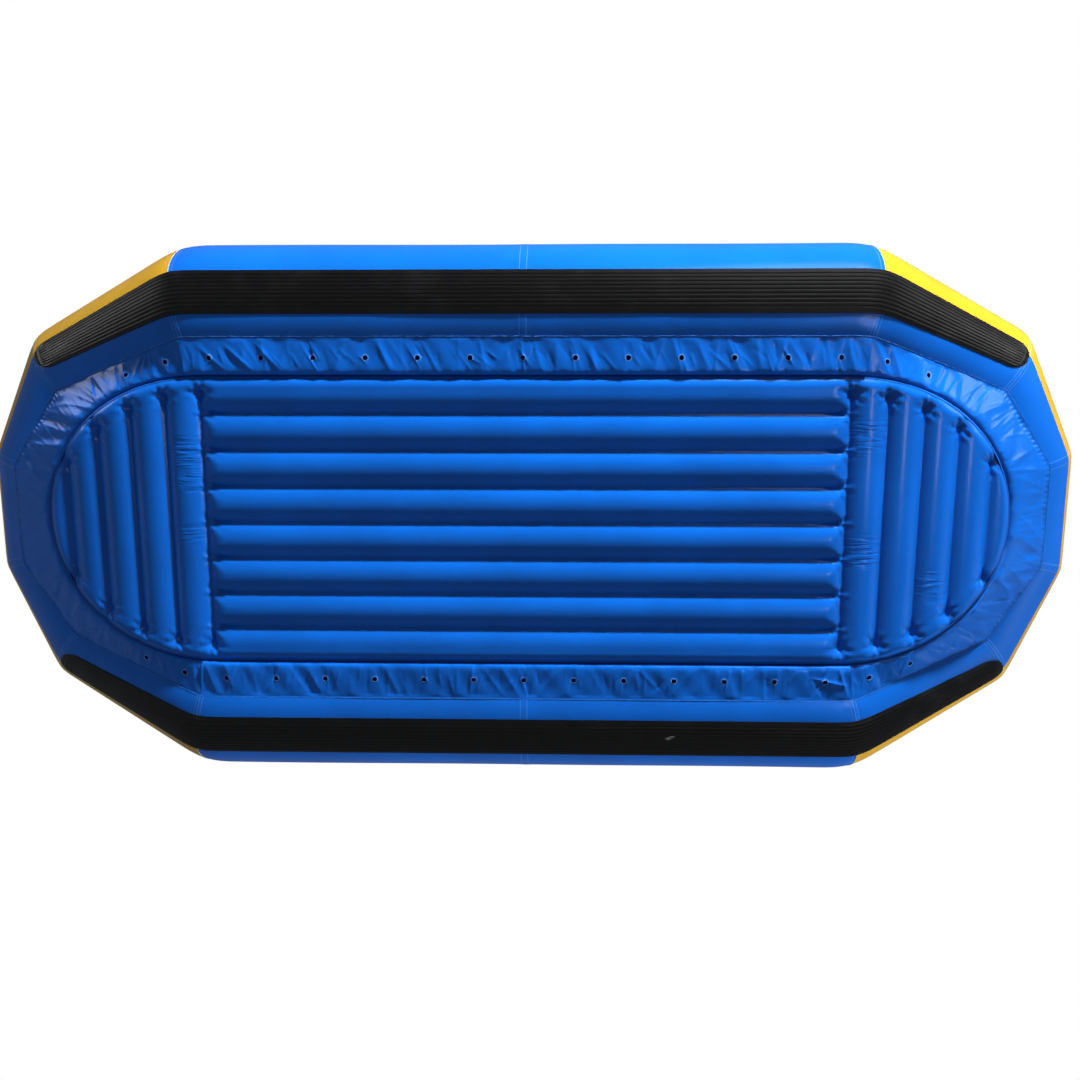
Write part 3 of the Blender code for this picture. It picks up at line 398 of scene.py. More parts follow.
looks = {
    "blue": coatedFabric("blueFabricLook", (0.0030, 0.165, 0.80), (0.25, 0.52, 0.90), 0.08),
    "yellow": coatedFabric("yellowFabricLook", (0.90, 0.50, 0.022), (0.98, 0.90, 0.66), 0.14, 0.85),
    "inner": coatedFabric("innerFabricLook", (0.006, 0.12, 0.55), (0.25, 0.45, 0.80), 0.10),
    "rubber": ribbedRubber(),
    "webbing": webbing("blackWebbingLook", (0.014, 0.014, 0.015), (0.16, 0.16, 0.165)),
    "plastic": mouldedPlastic("valvePlasticLook", (0.014, 0.014, 0.016), 0.34),
    "poppet": mouldedPlastic("poppetPlasticLook", (0.34, 0.35, 0.36), 0.38),
    "steel": polishedSteel(),
}
print("materials made:", len(looks))


# Making pieces

def pieceName(node):
    # a piece's name, from its node's
    words = node.split("_")
    return words[0] + "".join(word.capitalize() for word in words[1:])


def alone(obj):
    bpy.ops.object.select_all(action="DESELECT")
    obj.select_set(True)
    bpy.context.view_layer.objects.active = obj


def gridPiece(name, points, flat, wrap=False, inside=None, **fields):
    # a grid primitive with its crossings put at points; flat says where they lie on the flat cut, in metres
    rows, columns = points.shape[:2]
    bpy.ops.mesh.primitive_grid_add(x_subdivisions=columns - 1, y_subdivisions=rows - 1, size=1.0)
    obj = bpy.context.active_object
    obj.name = name
    mesh = obj.data
    mesh.name = name
    spots = np.empty(len(mesh.vertices) * 3)
    mesh.vertices.foreach_get("co", spots)
    spots = spots.reshape(-1, 3)
    order = np.lexsort((spots[:, 0], np.round(spots[:, 1], 6)))
    placed = np.empty_like(spots)
    placed[order] = points.reshape(-1, 3)
    mesh.vertices.foreach_set("co", placed.ravel())
    spread = np.empty((len(spots), 2))
    spread[order] = flat.reshape(-1, 2)
    corners = np.empty(len(mesh.loops), np.int32)
    mesh.loops.foreach_get("vertex_index", corners)
    mesh.uv_layers[0].name = "flat"
    mesh.uv_layers[0].data.foreach_set("uv", spread[corners].ravel())
    for field in ("seam", "edge"):
        fields.setdefault(field, 1.0)
    for field, given in fields.items():
        values = np.empty(len(order))
        values[order] = np.broadcast_to(given, (rows, columns)).ravel()
        mesh.attributes.new(field, "FLOAT", "POINT").data.foreach_set("value", values)
    mesh.update()
    if inside is not None:
        middle = mesh.vertices[int(order[(rows // 2) * columns + columns // 2])]
        if middle.normal.dot(middle.co - Vector(inside)) < 0:
            mesh.flip_normals()
    if wrap:
        alone(obj)
        bpy.ops.object.mode_set(mode="EDIT")
        bpy.ops.mesh.select_all(action="SELECT")
        bpy.ops.mesh.remove_doubles(threshold=0.00002)
        if inside is None:
            bpy.ops.mesh.normals_make_consistent(inside=False)
        bpy.ops.object.mode_set(mode="OBJECT")
    return obj


def openHoles(obj, inside):
    # takes out the crossings of a grid that are inside a hole, with the faces round them
    obj.data.vertices.foreach_set("select", inside.ravel())
    obj.data.edges.foreach_set("select", np.zeros(len(obj.data.edges), bool))
    obj.data.polygons.foreach_set("select", np.zeros(len(obj.data.polygons), bool))
    alone(obj)
    bpy.ops.object.mode_set(mode="EDIT")
    bpy.ops.mesh.delete(type="VERT")
    bpy.ops.object.mode_set(mode="OBJECT")


def gridNormals(points):
    along = np.gradient(points, axis=0)
    across = np.gradient(points, axis=1)
    return unit(np.cross(along, across))


def creases(s, t, marks):
    # fold lines pressed into a sheet. Each mark: place s, t, turn in degrees, length, width, height
    total = np.zeros(np.broadcast(s, t).shape)
    for markS, markT, turn, length, width, height in marks:
        cosine, sine = math.cos(math.radians(turn)), math.sin(math.radians(turn))
        near = (np.abs(s - markS) < length + 6 * width) & (np.abs(t - markT) < length + 6 * width)
        if not near.any():
            continue
        ds, dt = (s - markS)[near], (t - markT)[near]
        along = np.abs(ds * cosine + dt * sine) / (length / 2)
        across = (dt * cosine - ds * sine) / width
        total[near] += height * np.exp(-np.sqrt(across * across + 0.06)) * smoothStep(1.0, 0.25, along)
    return total


def applyModifier(obj, kind, **settings):
    alone(obj)
    modifier = obj.modifiers.new(kind.lower(), kind)
    for name, value in settings.items():
        setattr(modifier, name, value)
    bpy.ops.object.modifier_apply(modifier=modifier.name)


def thicken(obj, thickness, offset=-1.0):
    applyModifier(obj, "SOLIDIFY", thickness=thickness, offset=offset, use_even_offset=False)


def finished(obj, look, body="hull", stands=(), smooth=40.0):
    # the last step for every piece: smooth shading, material, slot and the body that it rides on
    alone(obj)
    bpy.ops.object.transform_apply(location=True, rotation=True, scale=True)
    if smooth:
        bpy.ops.object.shade_smooth_by_angle(angle=math.radians(smooth))
    obj.data.materials.clear()
    obj.data.materials.append(looks[look])
    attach(obj, body)
    if stands:
        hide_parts(*stands)
    return obj


# Air tubes

tubes = {
    "step": 0.0125, "columns": 136,
    "tapeHalf": 0.0125, "tapeLift": 0.0007,
    "puckerDepth": 0.0016, "puckerReach": 0.055,
    "colourLap": 0.0009,
    "bandWidth": 0.058, "bandLift": 0.0008,
    "longest": 2.0,  # a longer tube holds a chamber wall half-way
}


def tubeLift(metres, shares):
    # how far the skin stands from a true tube: seam tapes at the mitres and small puckers beside them
    away = seamDistance(metres)[:, None]
    tape = tubes["tapeLift"] * smoothStep(tubes["tapeHalf"] + 0.0015, tubes["tapeHalf"] - 0.0015, away)
    number = np.abs(np.mod(metres, ringLength)[:, None] - starts[None]).argmin(axis=1)[:, None]
    wave = np.sin(shares[None] * 61 + number * 2.3) * 0.6 + np.sin(shares[None] * 97 + number) * 0.4
    inside = 0.35 + 0.65 * smoothStep(1.35, 1.75, np.abs(shares[None]))
    pucker = -tubes["puckerDepth"] * np.exp(-away / tubes["puckerReach"]) * np.maximum(wave, 0) * inside
    slack = 0.0012 * np.sin(metres[:, None] * 4.1 + shares[None] * 2.0) * np.sin(metres[:, None] * 1.7 + 1.0)
    return tape + pucker + slack


def jointDistance(metres, tube):
    # how far each place is from the joint half-way along a side tube, where its chamber wall is welded in
    return np.abs(metres - (starts[tube] + lengths[tube] / 2))


def ringPanel(name, first, last, low, high, columns, look, stands, lap=0.0, band=False):
    metres = ringStops(first, last, tubes["step"])
    shares = np.linspace(low, high, columns)
    lift = tubeLift(metres, shares) + lap
    away = seamDistance(metres)
    if lengths[first % tubeCount] > tubes["longest"]:
        joint = jointDistance(metres, first % tubeCount)
        lift = lift + tubes["tapeLift"] * smoothStep(0.017, 0.014, joint)[:, None]
        away = np.minimum(away, joint)
    table = panelLines(shares)
    creaseAndShade = np.zeros(columns)
    if band:
        fromSeam = (shares - low) * math.radians(165) * hull["radius"]
        width = tubes["bandWidth"]
        lift = lift + tubes["bandLift"] * smoothStep(width + 0.001, width - 0.001, fromSeam)[None]
        # painted shade along the band's edge and along a line beside the seam
        creaseAndShade = smoothStep(0.0030, 0.0010, np.abs(fromSeam - width))
        creaseAndShade = creaseAndShade + 0.6 * smoothStep(0.0022, 0.0008, np.abs(fromSeam - 0.007))
    points = softRing(metres, table, lift)
    girth = np.radians(mixed(-155, 205, shares / 2)) * hull["radius"]
    flat = np.stack(np.meshgrid(metres - metres[0], girth, indexing="ij"), axis=-1)
    edge = np.minimum(shares - low, high - shares) * math.radians(180) * hull["radius"]
    if high - low == 2:
        edge = edge + 1  # a whole sleeve has no edge of its own
    axis = softRing(metres[len(metres) // 2:][:1], table[:, :1], -hull["radius"])[0, 0]
    fields = {"seam": away[:, None], "edge": edge[None], "creaseAndShade": creaseAndShade[None]}
    obj = gridPiece(name, points, flat, inside=axis, **fields)
    thicken(obj, hull["skin"])
    return finished(obj, look, stands=stands)


def buildTubes():
    for side, first in (("port", 11), ("starboard", 5)):
        ringPanel(side + "SideSleeve", first, first + 1, 0.0, 2.0, tubes["columns"] + 1, "blue",
                  [side + "_side_tube"])
    half = tubes["columns"] // 2
    for end, first in (("bow", 0), ("stern", 6)):
        near, far = ("port", "starboard") if end == "bow" else ("starboard", "port")
        runs = ((f"{end}_{near}_quarter", first, first + 1), (f"{end}_nose", first + 1, first + 4),
                (f"{end}_{far}_quarter", first + 4, first + 5))
        for node, start, stop in runs:
            ringPanel(pieceName(node) + "Upper", start, stop, 0.0, 1.0, half + 12, "yellow",
                      [node + "_upper_panel"], tubes["colourLap"])
            ringPanel(pieceName(node) + "Lower", start, stop, 0.97, 2.0, half, "blue",
                      [node + "_lower_panel"], band=node.endswith("nose"))


buildTubes()
print("air tubes made")


# Wear strips

strips = {
    "first": {"port": 10, "starboard": 4},
    "base": 0.0029, "rib": 0.0021, "seat": 0.0003, "ribs": 10, "border": 0.05,
    "corner": 0.062, "rounding": 0.0016, "step": 0.013, "endRibs": 0.030, "barPitch": 0.0085, "trim": 0.0006,
    "scuffs": ((0.56, 0.56, 0.0085), (0.575, 0.60, 0.006)),  # on port: place ahead, share across, size
}


def lineAt(metres, line):
    # a line's angle where it crosses each place along the ring
    stops = np.append(starts, ringLength)
    values = np.asarray(line)[np.append(cornerKinds, cornerKinds[0])]
    return np.interp(np.mod(metres, ringLength), stops, values)


def ribHeight(share):
    inner = np.clip((share - strips["border"]) / (1 - 2 * strips["border"]), 0, 1) * strips["ribs"]
    return smoothStep(0.40, 0.24, np.abs(inner % 1 - 0.5)) * ((inner > 0) & (inner < strips["ribs"]))


def buildStrip(side, first):
    metres = ringStops(first, first + 3, strips["step"], fine=0.003)
    begin, stop = metres[0] + strips["trim"], metres[-1] - strips["trim"]
    metres = np.clip(metres, begin, stop)
    metres = np.concatenate([[begin], metres + np.linspace(0.0004, -0.0004, len(metres)), [stop]])
    ribbed = np.array([0, 0.10, 0.17, 0.24, 0.37, 0.5, 0.63, 0.76, 0.83, 0.90])
    inner = (np.arange(strips["ribs"])[:, None] + ribbed[None]).ravel() / strips["ribs"]
    inner = strips["border"] + (1 - 2 * strips["border"]) * inner
    across = np.concatenate([np.array([0, 0.006, 0.014, 0.028]), inner, [0.95, 0.972, 0.986, 0.994, 1.0]])
    away = np.minimum(metres - begin, stop - metres)
    drop = strips["corner"] - np.minimum(away, strips["corner"])
    inset = strips["corner"] - np.sqrt(np.maximum(strips["corner"] ** 2 - drop**2, 0))
    degrees = lineAt(metres, lines["stripLow"]) - lineAt(metres, lines["stripHigh"])
    width = np.radians(degrees) * hull["radius"]
    held = (inset / width)[:, None]
    share = held + across[None] * (1 - 2 * held)
    edge = np.minimum(np.minimum(across, 1 - across)[None] * (width - 2 * inset)[:, None], away[:, None])
    swell = np.sqrt(1 - (1 - np.clip(edge / strips["rounding"], 0, 1)) ** 2) * 0.72 + 0.28
    ribs = ribHeight(share) * smoothStep(0.004, 0.009, edge)
    ends = smoothStep(strips["endRibs"], strips["endRibs"] - 0.004, away)[:, None]
    bars = smoothStep(0.35, 0.75, np.sin(away * math.tau / strips["barPitch"]))[:, None]
    bars = bars * smoothStep(0.004, 0.008, edge)
    profile = strips["base"] + strips["rib"] * mixed(ribs, bars, ends)
    soft = 0.0005 * np.sin(metres * 9.0)[:, None] * np.sin(share * 5 + metres[:, None] * 3)
    top = strips["seat"] + swell * profile + np.abs(soft)
    top[0] = top[-1] = strips["seat"]
    table = np.array([mixed(high, low, across) for high, low in zip(lines["stripHigh"], lines["stripLow"])])
    turnBy = (share - across[None]) * degrees[:, None]
    upper = softRing(metres, table, top, turnBy, 0.8)
    lower = softRing(metres, table, strips["seat"], turnBy, 0.8)
    points = np.concatenate([upper, lower[:, ::-1], upper[:, :1]], axis=1)
    points[..., 2] = np.maximum(points[..., 2], 0.0)  # the raft's weight presses the ribs flat
    shareAll = np.concatenate([share, share[:, ::-1], share[:, :1]], axis=1)
    run = np.repeat((metres - begin)[:, None], points.shape[1], 1)
    flat = np.stack([run, shareAll * width[:, None]], axis=-1)
    scuff = np.zeros(points.shape[:2])
    if side == "port":
        for alongX, at, size in strips["scuffs"]:
            spot = np.hypot(points[..., 0] - alongX, (shareAll - at) * width[:, None])
            scuff = np.maximum(scuff, smoothStep(size, size * 0.5, spot))
    # lighter and smoother towards the ends: partly wear, partly painted sheen on the ribs
    worn = smoothStep(1.1, 1.9, np.abs(points[..., 0]))
    obj = gridPiece(side + "Strip", points, flat, wrap=True, worn=worn, scuff=scuff)
    finished(obj, "rubber", stands=[side + "_wear_strip"], smooth=50)


for side, first in strips["first"].items():
    buildStrip(side, first)
print("wear strips made")


# I-beam floor

floor = {
    "straight": 1.20, "tip": 1.875, "halfWidth": 0.5565, "middle": 0.067, "riseStart": 1.18, "rise": 0.1014,
    "halfWeb": 0.031, "crown": 0.024, "edge": 0.05, "pitch": 0.1375, "longHalf": 1.18,
    "longWebs": 7, "firstCross": 1.21, "crossPitch": 0.14, "crossInset": 0.075, "crossWebs": 5,
    "least": 0.0004,  # no skin comes nearer to the floor's middle
    "pinch": (0.0095, 0.019),  # at a web's end: depth and reach
    "star": (0.0026, 7, 0.034, 0.016),  # round it: height, rays, distance and width
}


def bulge(share):
    held = np.clip(share, 0, 1)
    return np.sqrt(1 - (1 - held) ** 2)


def pillow(share):
    # the arc of a taut skin between two webs, from 0 at a web to 1 midway
    reach, crown = floor["pitch"] / 2, floor["crown"]
    radius = (reach**2 + crown**2) / (2 * crown)
    across = reach * (1 - np.clip(share, 0, 1))
    return (np.sqrt(radius**2 - across**2) - radius + crown) / crown


def floorHalfWidth(x):
    beyond = np.maximum(np.abs(x) - floor["straight"], 0) / (floor["tip"] - floor["straight"])
    return floor["halfWidth"] * np.sqrt(np.maximum(1 - beyond**2, 0))


def floorRise(x):
    past = np.maximum(np.abs(x) - floor["riseStart"], 0)
    return floor["rise"] * (past / (floor["tip"] - floor["riseStart"])) ** 2


def floorEdge(x, y):
    # how far a place on the floor's plan is from its edge
    reach = floor["tip"] - floor["straight"]
    beyond = np.maximum(np.abs(x) - floor["straight"], 0)
    along, across = beyond / reach, np.abs(y) / floor["halfWidth"]
    size = np.maximum(np.hypot(along, across), 1e-6)
    steep = np.hypot(along / reach, across / floor["halfWidth"]) / size
    return (1 - size) / np.maximum(steep, 1e-6)


def crossWebs():
    # for each web across an end, its distance from the middle of the raft and half its length
    places = [floor["firstCross"] + number * floor["crossPitch"] for number in range(floor["crossWebs"])]
    return [(place, float(floorHalfWidth(np.array(place))) - floor["crossInset"]) for place in places]


def floorWebs(x, y):
    # the distance to the nearest web, and to the nearest end of one with the turn about it
    nearest = np.full(x.shape, 9.0)
    endAway = np.full(x.shape, 9.0)
    endTurn = np.zeros(x.shape)
    outermost = floor["longWebs"] // 2
    lanes = np.arange(-outermost, outermost + 1) * floor["pitch"]
    webs = [(np.abs(x) - floor["longHalf"], y - lane) for lane in lanes]
    webs += [(np.abs(y) - reach, np.abs(x) - place) for place, reach in crossWebs()]
    for past, beside in webs:
        nearest = np.minimum(nearest, np.hypot(np.maximum(past, 0), beside))
        away = np.hypot(past, beside)
        endTurn = np.where(away < endAway, np.arctan2(beside, past), endTurn)
        endAway = np.minimum(away, endAway)
    return nearest, endAway, endTurn


def floorDepth(x, y):
    # how far a skin stands from the floor's middle
    web, endAway, endTurn = floorWebs(x, y)
    edge = bulge(floorEdge(x, y) / floor["edge"])
    depth = edge * (floor["halfWeb"] + floor["crown"] * pillow(web / (floor["pitch"] / 2)))
    pinchDepth, pinchReach = floor["pinch"]
    tall, rays, away, width = floor["star"]
    pinch = -pinchDepth * np.exp(-((endAway / pinchReach) ** 2))
    star = tall * np.cos(endTurn * rays) * np.exp(-(((endAway - away) / width) ** 2))
    return np.maximum(depth + (pinch + star) * edge, floor["least"])


def floorWrinkles(x, y, seed):
    # short pleats that cross the first lateral chambers, and slight ones elsewhere
    random.seed(seed)
    marks = []
    for end, spans in ((-1, ((-0.30, -0.12), (0.02, 0.08))), (1, ((0.05, 0.17), (-0.35, -0.30)))):
        for low, high in spans:
            place = low
            while place < high:
                marks.append((end * random.uniform(1.262, 1.285), place, random.uniform(-14, 14),
                              random.uniform(0.05, 0.11), random.uniform(0.0035, 0.006),
                              -random.uniform(0.0018, 0.0036)))
                place += random.uniform(0.017, 0.030)
    for place in np.arange(0.20, 0.34, 0.024):
        marks.append((1.555, place - 0.02, random.uniform(-25, 25), 0.07, 0.0045, -0.0026))
    for number in range(46):
        side = random.choice((-1, 1))
        web = random.randrange(floor["longWebs"]) - floor["longWebs"] // 2
        marks.append((random.uniform(-1.12, 1.12), web * floor["pitch"] + side * 0.014,
                      90 + random.uniform(-20, 20), random.uniform(0.025, 0.045), 0.0034,
                      -random.uniform(0.0008, 0.0018)))
    for place, reach in crossWebs():
        for end in (-1, 1):
            for port in (-1, 1):
                for turn in (-50, -15, 20, 55):
                    turn += random.uniform(-10, 10)
                    cosine, sine = math.cos(math.radians(turn)), math.sin(math.radians(turn))
                    marks.append((end * (place + 0.034 * sine), port * (reach + 0.030 * cosine),
                                  math.degrees(math.atan2(port * cosine, end * sine)),
                                  random.uniform(0.045, 0.075), 0.0042, -random.uniform(0.0020, 0.0042)))
    return creases(x, y, marks)


def floorPleats(x, y):
    # how strongly short pleats show that run along X (over the cross chambers) and along Y
    web, endAway, _ = floorWebs(x, y)
    past = np.abs(x) - floor["firstCross"]
    first = between(past, -0.02, 0.02, 0.115, 0.155)
    bow = np.maximum(between(y, 0.035, 0.06, 0.15, 0.19), 0.8 * between(y, -0.42, -0.36, -0.30, -0.24))
    stern = np.maximum(between(y, -0.36, -0.30, -0.13, -0.09), 0.8 * between(y, 0.0, 0.02, 0.07, 0.09))
    third = between(past, 0.27, 0.30, 0.40, 0.43) * between(y, 0.17, 0.20, 0.29, 0.34) * (x > 0)
    pleatX = first * np.where(x > 0, bow, stern) + 0.8 * third + 0.10
    ends = np.exp(-((endAway / 0.042) ** 2)) * smoothStep(0.004, 0.014, endAway)
    crossEnd = np.abs(x) > floor["firstCross"] - 0.012
    pleatX = pleatX + np.where(crossEnd, 0.25, 0.75) * ends
    valley = smoothStep(0.030, 0.004, web) * (np.abs(x) < floor["longHalf"])
    pleatY = np.where(crossEnd, 0.9, 0.3) * ends + 0.34 * valley + 0.10
    return pleatX, pleatY


def buildFloorSkin(name, side, stands):
    # columns and rows lie closer together beside the webs and at the rim
    quarter = np.linspace(0, 1, 9) ** 1.5 * 0.5
    pitch = np.concatenate([quarter[:-1], 1 - quarter[::-1]])[:-1]
    outermost = floor["longWebs"] // 2
    middle = (np.arange(-outermost, outermost)[:, None] + pitch[None]).ravel() * floor["pitch"]
    outer = np.concatenate([quarter[:-1], np.linspace(0.5, 0.66, 4)]) * floor["pitch"]
    outer = outermost * floor["pitch"] + outer
    rim = floor["halfWidth"] - floor["edge"] * (1 - np.sin(np.radians(np.linspace(0, 90, 13)))) * 0.98
    rim = rim[rim > outer[-1] + 0.002]
    outer = np.append(np.concatenate([outer, rim[:-1]]), floor["halfWidth"])
    shares = np.concatenate([-outer[::-1], middle[1:], outer]) / floor["halfWidth"]
    gaps = floor["crossWebs"] - 1
    crossing = floor["firstCross"] + (np.arange(gaps)[:, None] + pitch[None]).ravel() * floor["crossPitch"]
    reach = floor["tip"] - floor["straight"]
    lastCross = floor["firstCross"] + gaps * floor["crossPitch"]
    lastTurn = math.degrees(math.asin((lastCross - floor["straight"]) / reach))
    tip = floor["straight"] + reach * np.sin(np.radians(np.linspace(lastTurn, 90, 26)))
    half = np.concatenate([np.arange(0.008, 1.172, 0.0158), [1.18, 1.188, 1.196, 1.203], crossing, tip])
    xs = np.concatenate([-half[::-1], half])
    x = np.repeat(xs[:, None], len(shares), 1)
    y = shares[None] * floorHalfWidth(xs)[:, None]
    depth = floorDepth(x, y)
    wrinkles = floorWrinkles(x, y, 5 if side < 0 else 6)
    away = np.clip(floorEdge(x, y), 0, 1)
    depth = np.maximum(depth + wrinkles * smoothStep(0.0, 0.03, away), floor["least"])
    points = np.stack([x, y, floor["middle"] + floorRise(x) + side * depth], axis=-1)
    pleatX, pleatY = floorPleats(x, y)
    obj = gridPiece(name, points, np.stack([x, y], axis=-1), wrap=True,
                    inside=(0.0, 0.0, floor["middle"]), edge=away + 0.004, pleatX=pleatX, pleatY=pleatY)
    thicken(obj, hull["skin"])
    return finished(obj, "blue", stands=stands, smooth=75)


buildFloorSkin("floorLowerSkin", -1, ["floor_lower_skin"])
buildFloorSkin("floorUpperSkin", 1, ["floor_upper_skin"])
print("floor skins made")


# Aprons between tube and floor

aprons = {
    "first": {"port": (11, 12), "starboard": (5, 6), "bow": (0, 5), "stern": (6, 11)},
    "out": 0.014, "lap": 0.006, "lift": 0.0018, "hole": 0.0095, "across": 0.512,
    "pitch": 0.192975, "holes": 17, "ringStep": 0.0027, "step": 0.0052, "seamSlope": 32.0, "belly": 0.0255,
    "endBelly": 0.55, "span": 0.1474, "hemSlopes": (35.0, 39.0, 43.0, 46.0, 47.0), "innerColumns": 11,
    "block": 6, "cut": 3,  # crossings from a hole's centre to where the grid is plain again, and to its rim
}
holeSteps = np.arange(-aprons["block"], aprons["block"] + 1)

# long folds, given one by one: share along, lean in degrees and height
longFolds = {
    "starboard": ((0.955, 140, 0.0045), (0.914, 138, 0.0075), (0.87, 132, 0.0065), (0.81, 120, 0.0040),
                  (0.70, 115, 0.0035), (0.634, 118, 0.0045), (0.557, 105, 0.0035), (0.50, 96, 0.0030),
                  (0.40, 112, 0.0035), (0.27, 108, 0.0040), (0.13, 75, 0.0045), (0.05, 70, 0.0045)),
    "port": ((0.965, 168, 0.0085), (0.95, 62, -0.0060), (0.985, 110, 0.0060), (0.05, 70, 0.0040),
             (0.42, 84, 0.0035)),
}


def floorSeam(weld, slope, lift):
    # where the apron reaches the floor's rounded edge, for each weld point
    reach = floor["tip"] - floor["straight"]
    beyond = np.maximum(np.abs(weld[..., 0]) - floor["straight"], 0)
    turn = np.arctan2(beyond / reach, np.abs(weld[..., 1]) / floor["halfWidth"])
    x = np.minimum(np.abs(weld[..., 0]), floor["straight"]) + reach * np.sin(turn)
    y = floor["halfWidth"] * np.cos(turn)
    outward = unit(np.stack([floor["halfWidth"] * np.sin(turn), reach * np.cos(turn)], axis=-1))
    slope = np.radians(slope)
    across = (floor["edge"] + lift) * np.cos(slope) - floor["edge"]
    drop = (floor["halfWeb"] + floor["crown"] + lift) * np.sin(slope)
    x, y = x + across * outward[..., 0], y + across * outward[..., 1]
    height = floor["middle"] + floorRise(x) - drop
    return np.stack([np.sign(weld[..., 0]) * x, np.sign(weld[..., 1]) * y, height], axis=-1)


def drainMetres(first, last):
    # where along the ring the drain holes of one apron lie
    quarter, shoulder = Vector(hull["quarter"]), Vector(hull["shoulder"])
    run = shoulder - quarter
    lean = run.x / math.hypot(run.x, run.y)
    found = []
    for tube in range(first, last):
        if 2 in (cornerKinds[tube % tubeCount], cornerKinds[(tube + 1) % tubeCount]):
            continue  # shoulder to nose and nose itself have none
        begin = starts[tube % tubeCount]
        metres = np.linspace(begin + 0.001, begin + lengths[tube % tubeCount] - 0.001, 600)
        x = softRing(metres, lines["weld"], aprons["lift"])[:, 0, 0]
        for number in range(-(aprons["holes"] // 2), aprons["holes"] // 2 + 1):
            place = abs(number) * aprons["pitch"]
            if place > quarter.x:
                place = quarter.x + lean * (place - quarter.x)
            place *= 1 if number >= 0 else -1
            if x.min() < place < x.max():
                rising = np.argsort(x)
                found.append(float(np.interp(place, x[rising], metres[rising])))
    base = starts[first % tubeCount]
    return sorted((metre - base) % ringLength + base for metre in found)


def apronRows(first, last, holes):
    # places along one apron, with an even block of them round each hole
    begin = starts[first % tubeCount]
    stop = begin + sum(lengths[tube % tubeCount] for tube in range(first, last))
    begin, stop = begin + 0.0005, stop - 0.0005
    near = holeSteps * aprons["ringStep"]
    rows, kept = [], begin
    for hole in holes:
        gapStop = hole + near[0]
        count = max(2, round((gapStop - kept) / aprons["step"]))
        rows.append(np.linspace(kept, gapStop, count, endpoint=False))
        rows.append(hole + near[:-1])
        kept = hole + near[-1]
    rows.append(np.linspace(kept, stop, max(2, round((stop - kept) / aprons["step"]))))
    return np.concatenate(rows)


def apronMarks(name, s, spans, seed):
    # folds of one apron, in metres along it and across it from the weld line
    random.seed(seed)
    marks = []
    place = 0.02
    length = s[-1]
    ends = name in ("bow", "stern")
    while place < length - 0.02:
        width = float(np.interp(place, s, spans))
        turn = 90 + random.gauss({"starboard": 26, "port": -10}.get(name, 0), 15)
        tall = random.uniform(0.0014, 0.0042) * random.choice((1, 1, -1)) * (0.6 if ends else 1.0)
        size = random.uniform(0.45, 1.0) * width
        across = random.uniform(0.35, 0.65) * width
        marks.append((place, across, turn, size, random.uniform(0.0028, 0.0055), tall))
        place += random.uniform(0.018, 0.060)
    place = 0.02
    while place < length - 0.02:
        near = ends and 0.55 < place < length - 0.55
        tall = random.uniform(0.0044, 0.0066) if near else random.uniform(0.0010, 0.0026)
        size = random.uniform(0.028, 0.044) if near else random.uniform(0.014, 0.026)
        marks.append((place, size * 0.45 - 0.004, 90 + random.gauss(0, 6), size, 0.0036, -tall))
        place += random.uniform(0.018, 0.025) if near else random.uniform(0.024, 0.050)
    for share, lean, tall in longFolds.get(name, ()):
        marks.append((share * length, 0.070, lean, 0.17, 0.0050, tall))
    place = 0.02
    while place < length - 0.02:
        width = float(np.interp(place, s, spans))
        marks.append((place, width - 0.012, 90 + random.gauss(0, 22), random.uniform(0.02, 0.045), 0.0040,
                      random.uniform(-0.0032, 0.0032)))
        place += random.uniform(0.020, 0.055)
    return marks


def gathers(s, t, spans, ends, seed):
    # the apron sags between sharp ridges that lean a little from weld to floor
    random.seed(seed + 100)
    length = float(s.max())
    places, leans, depths = [0.0], [0.0], []
    while places[-1] < length:
        far = ends and 0.66 < places[-1] < length - 0.66
        places.append(places[-1] + random.uniform(0.035, 0.10))
        leans.append(random.gauss(0.0, 0.45))
        depths.append(random.uniform(0.0010, 0.0045) if far else random.uniform(0.0010, 0.0050))
    places, leans = np.array(places), np.array(leans)
    middle = 0.5 * spans[:, None]
    ridges = places[None, None] + leans[None, None] * (t - middle)[..., None]
    total = np.zeros(t.shape)
    for number, depth in enumerate(depths):
        low, high = ridges[..., number], ridges[..., number + 1]
        share = np.clip((s - low) / np.maximum(high - low, 0.006), 0, 1)
        total -= depth * 4 * share * (1 - share)
    share = np.clip(t / spans[:, None], 0, 1)
    return total * np.sin(math.pi * share ** 0.85) ** 0.7


